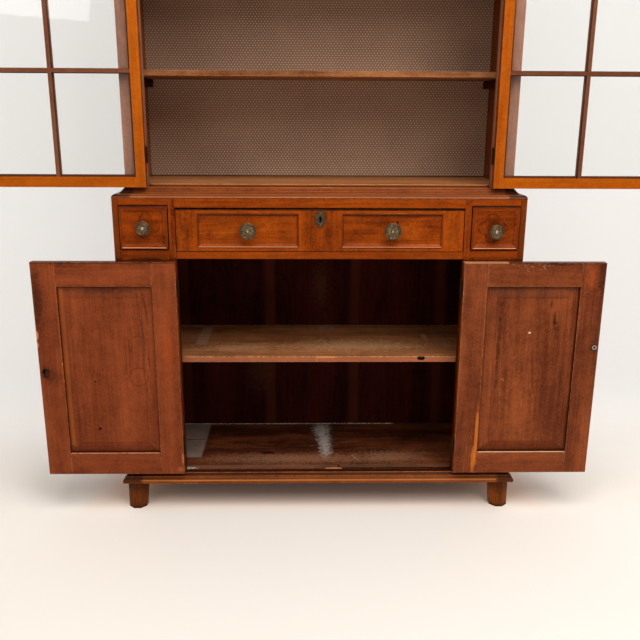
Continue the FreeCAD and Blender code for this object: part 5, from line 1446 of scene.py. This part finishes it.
backdrop = make_backdrop()
material, w, shader, coordinates = new_material("backdrop")
place = coordinates["Object"]
_, depth, height = w.split(place)
pale_floor = w.mix(w.step(height, 0.0, 0.12), srgb(247, 238, 227), srgb(238, 236, 233))
beneath = w.group(INSIDE_BOX, {"Place": place, "Low": (-0.66, -0.12, -0.1), "High": (0.66, 0.5, 0.1),
                               "Softness": 0.16})["Mask"]
# Under the press the floor is tinted orange, a painted bounce of light from the wood.
w.fill(shader, {"Base Color": w.mix(beneath, pale_floor, srgb(248, 190, 142)), "Roughness": 0.9})
glow = w.node("ShaderNodeEmission", {"Color": (0.96, 0.93, 0.89, 1), "Strength": 1.0})
rays = w.node("ShaderNodeLightPath").outputs
seen = w.math("MAXIMUM", w.math("MAXIMUM", rays["Is Camera Ray"], rays["Is Glossy Ray"]),
              rays["Is Transmission Ray"])
far_glow = w.times(w.step(depth, -0.15, 0.55, 0.05, 0.55), w.minus(1.0, w.times(beneath, 0.8)))
pale = w.mix_shaders(w.times(seen, far_glow), shader.outputs[0], glow.outputs[0])
behind = w.node("ShaderNodeNewGeometry").outputs["Backfacing"]
show(material, w.mix_shaders(behind, pale, w.node("ShaderNodeBsdfTransparent").outputs[0]))
backdrop.data.materials.append(material)
print(len(backdrop.data.polygons), "faces in the backdrop")

# %% [markdown]
# ## The light
# The photograph has soft light from above and in front, with weak shadows. A broad lamp overhead does
# most of it, a smaller one from the right gives the shadows their side, and a weak one fills the left.

# %% The lamps
def soft_lamp(name, place, target, size, power):
    data = bpy.data.lights.new(name, "AREA")
    data.shape, data.size, data.size_y, data.energy = "RECTANGLE", size[0], size[1], power
    lamp = add_object(name, data)
    lamp.location = place
    lamp.rotation_euler = (Vector(target) - Vector(place)).to_track_quat("-Z", "Y").to_euler()


soft_lamp("top_lamp", (0.4, -1.7, 3.9), (0.1, -0.5, 0.0), (3.0, 1.8), 96)
soft_lamp("key_lamp", (1.5, -3.0, 3.3), (0, 0, 0.7), (1.8, 1.4), 50)
soft_lamp("fill_lamp", (-2.2, -2.9, 2.6), (0, 0, 0.8), (2.0, 1.6), 22)
world = bpy.data.worlds.new("studio")
world.use_nodes = True
world.node_tree.nodes["Background"].inputs["Color"].default_value = (1, 1, 1, 1)
world.node_tree.nodes["Background"].inputs["Strength"].default_value = 0.3
bpy.context.scene.world = world
bpy.context.scene.view_settings.view_transform = "Standard"
print("lamps:", [lamp.name for lamp in bpy.data.lights])
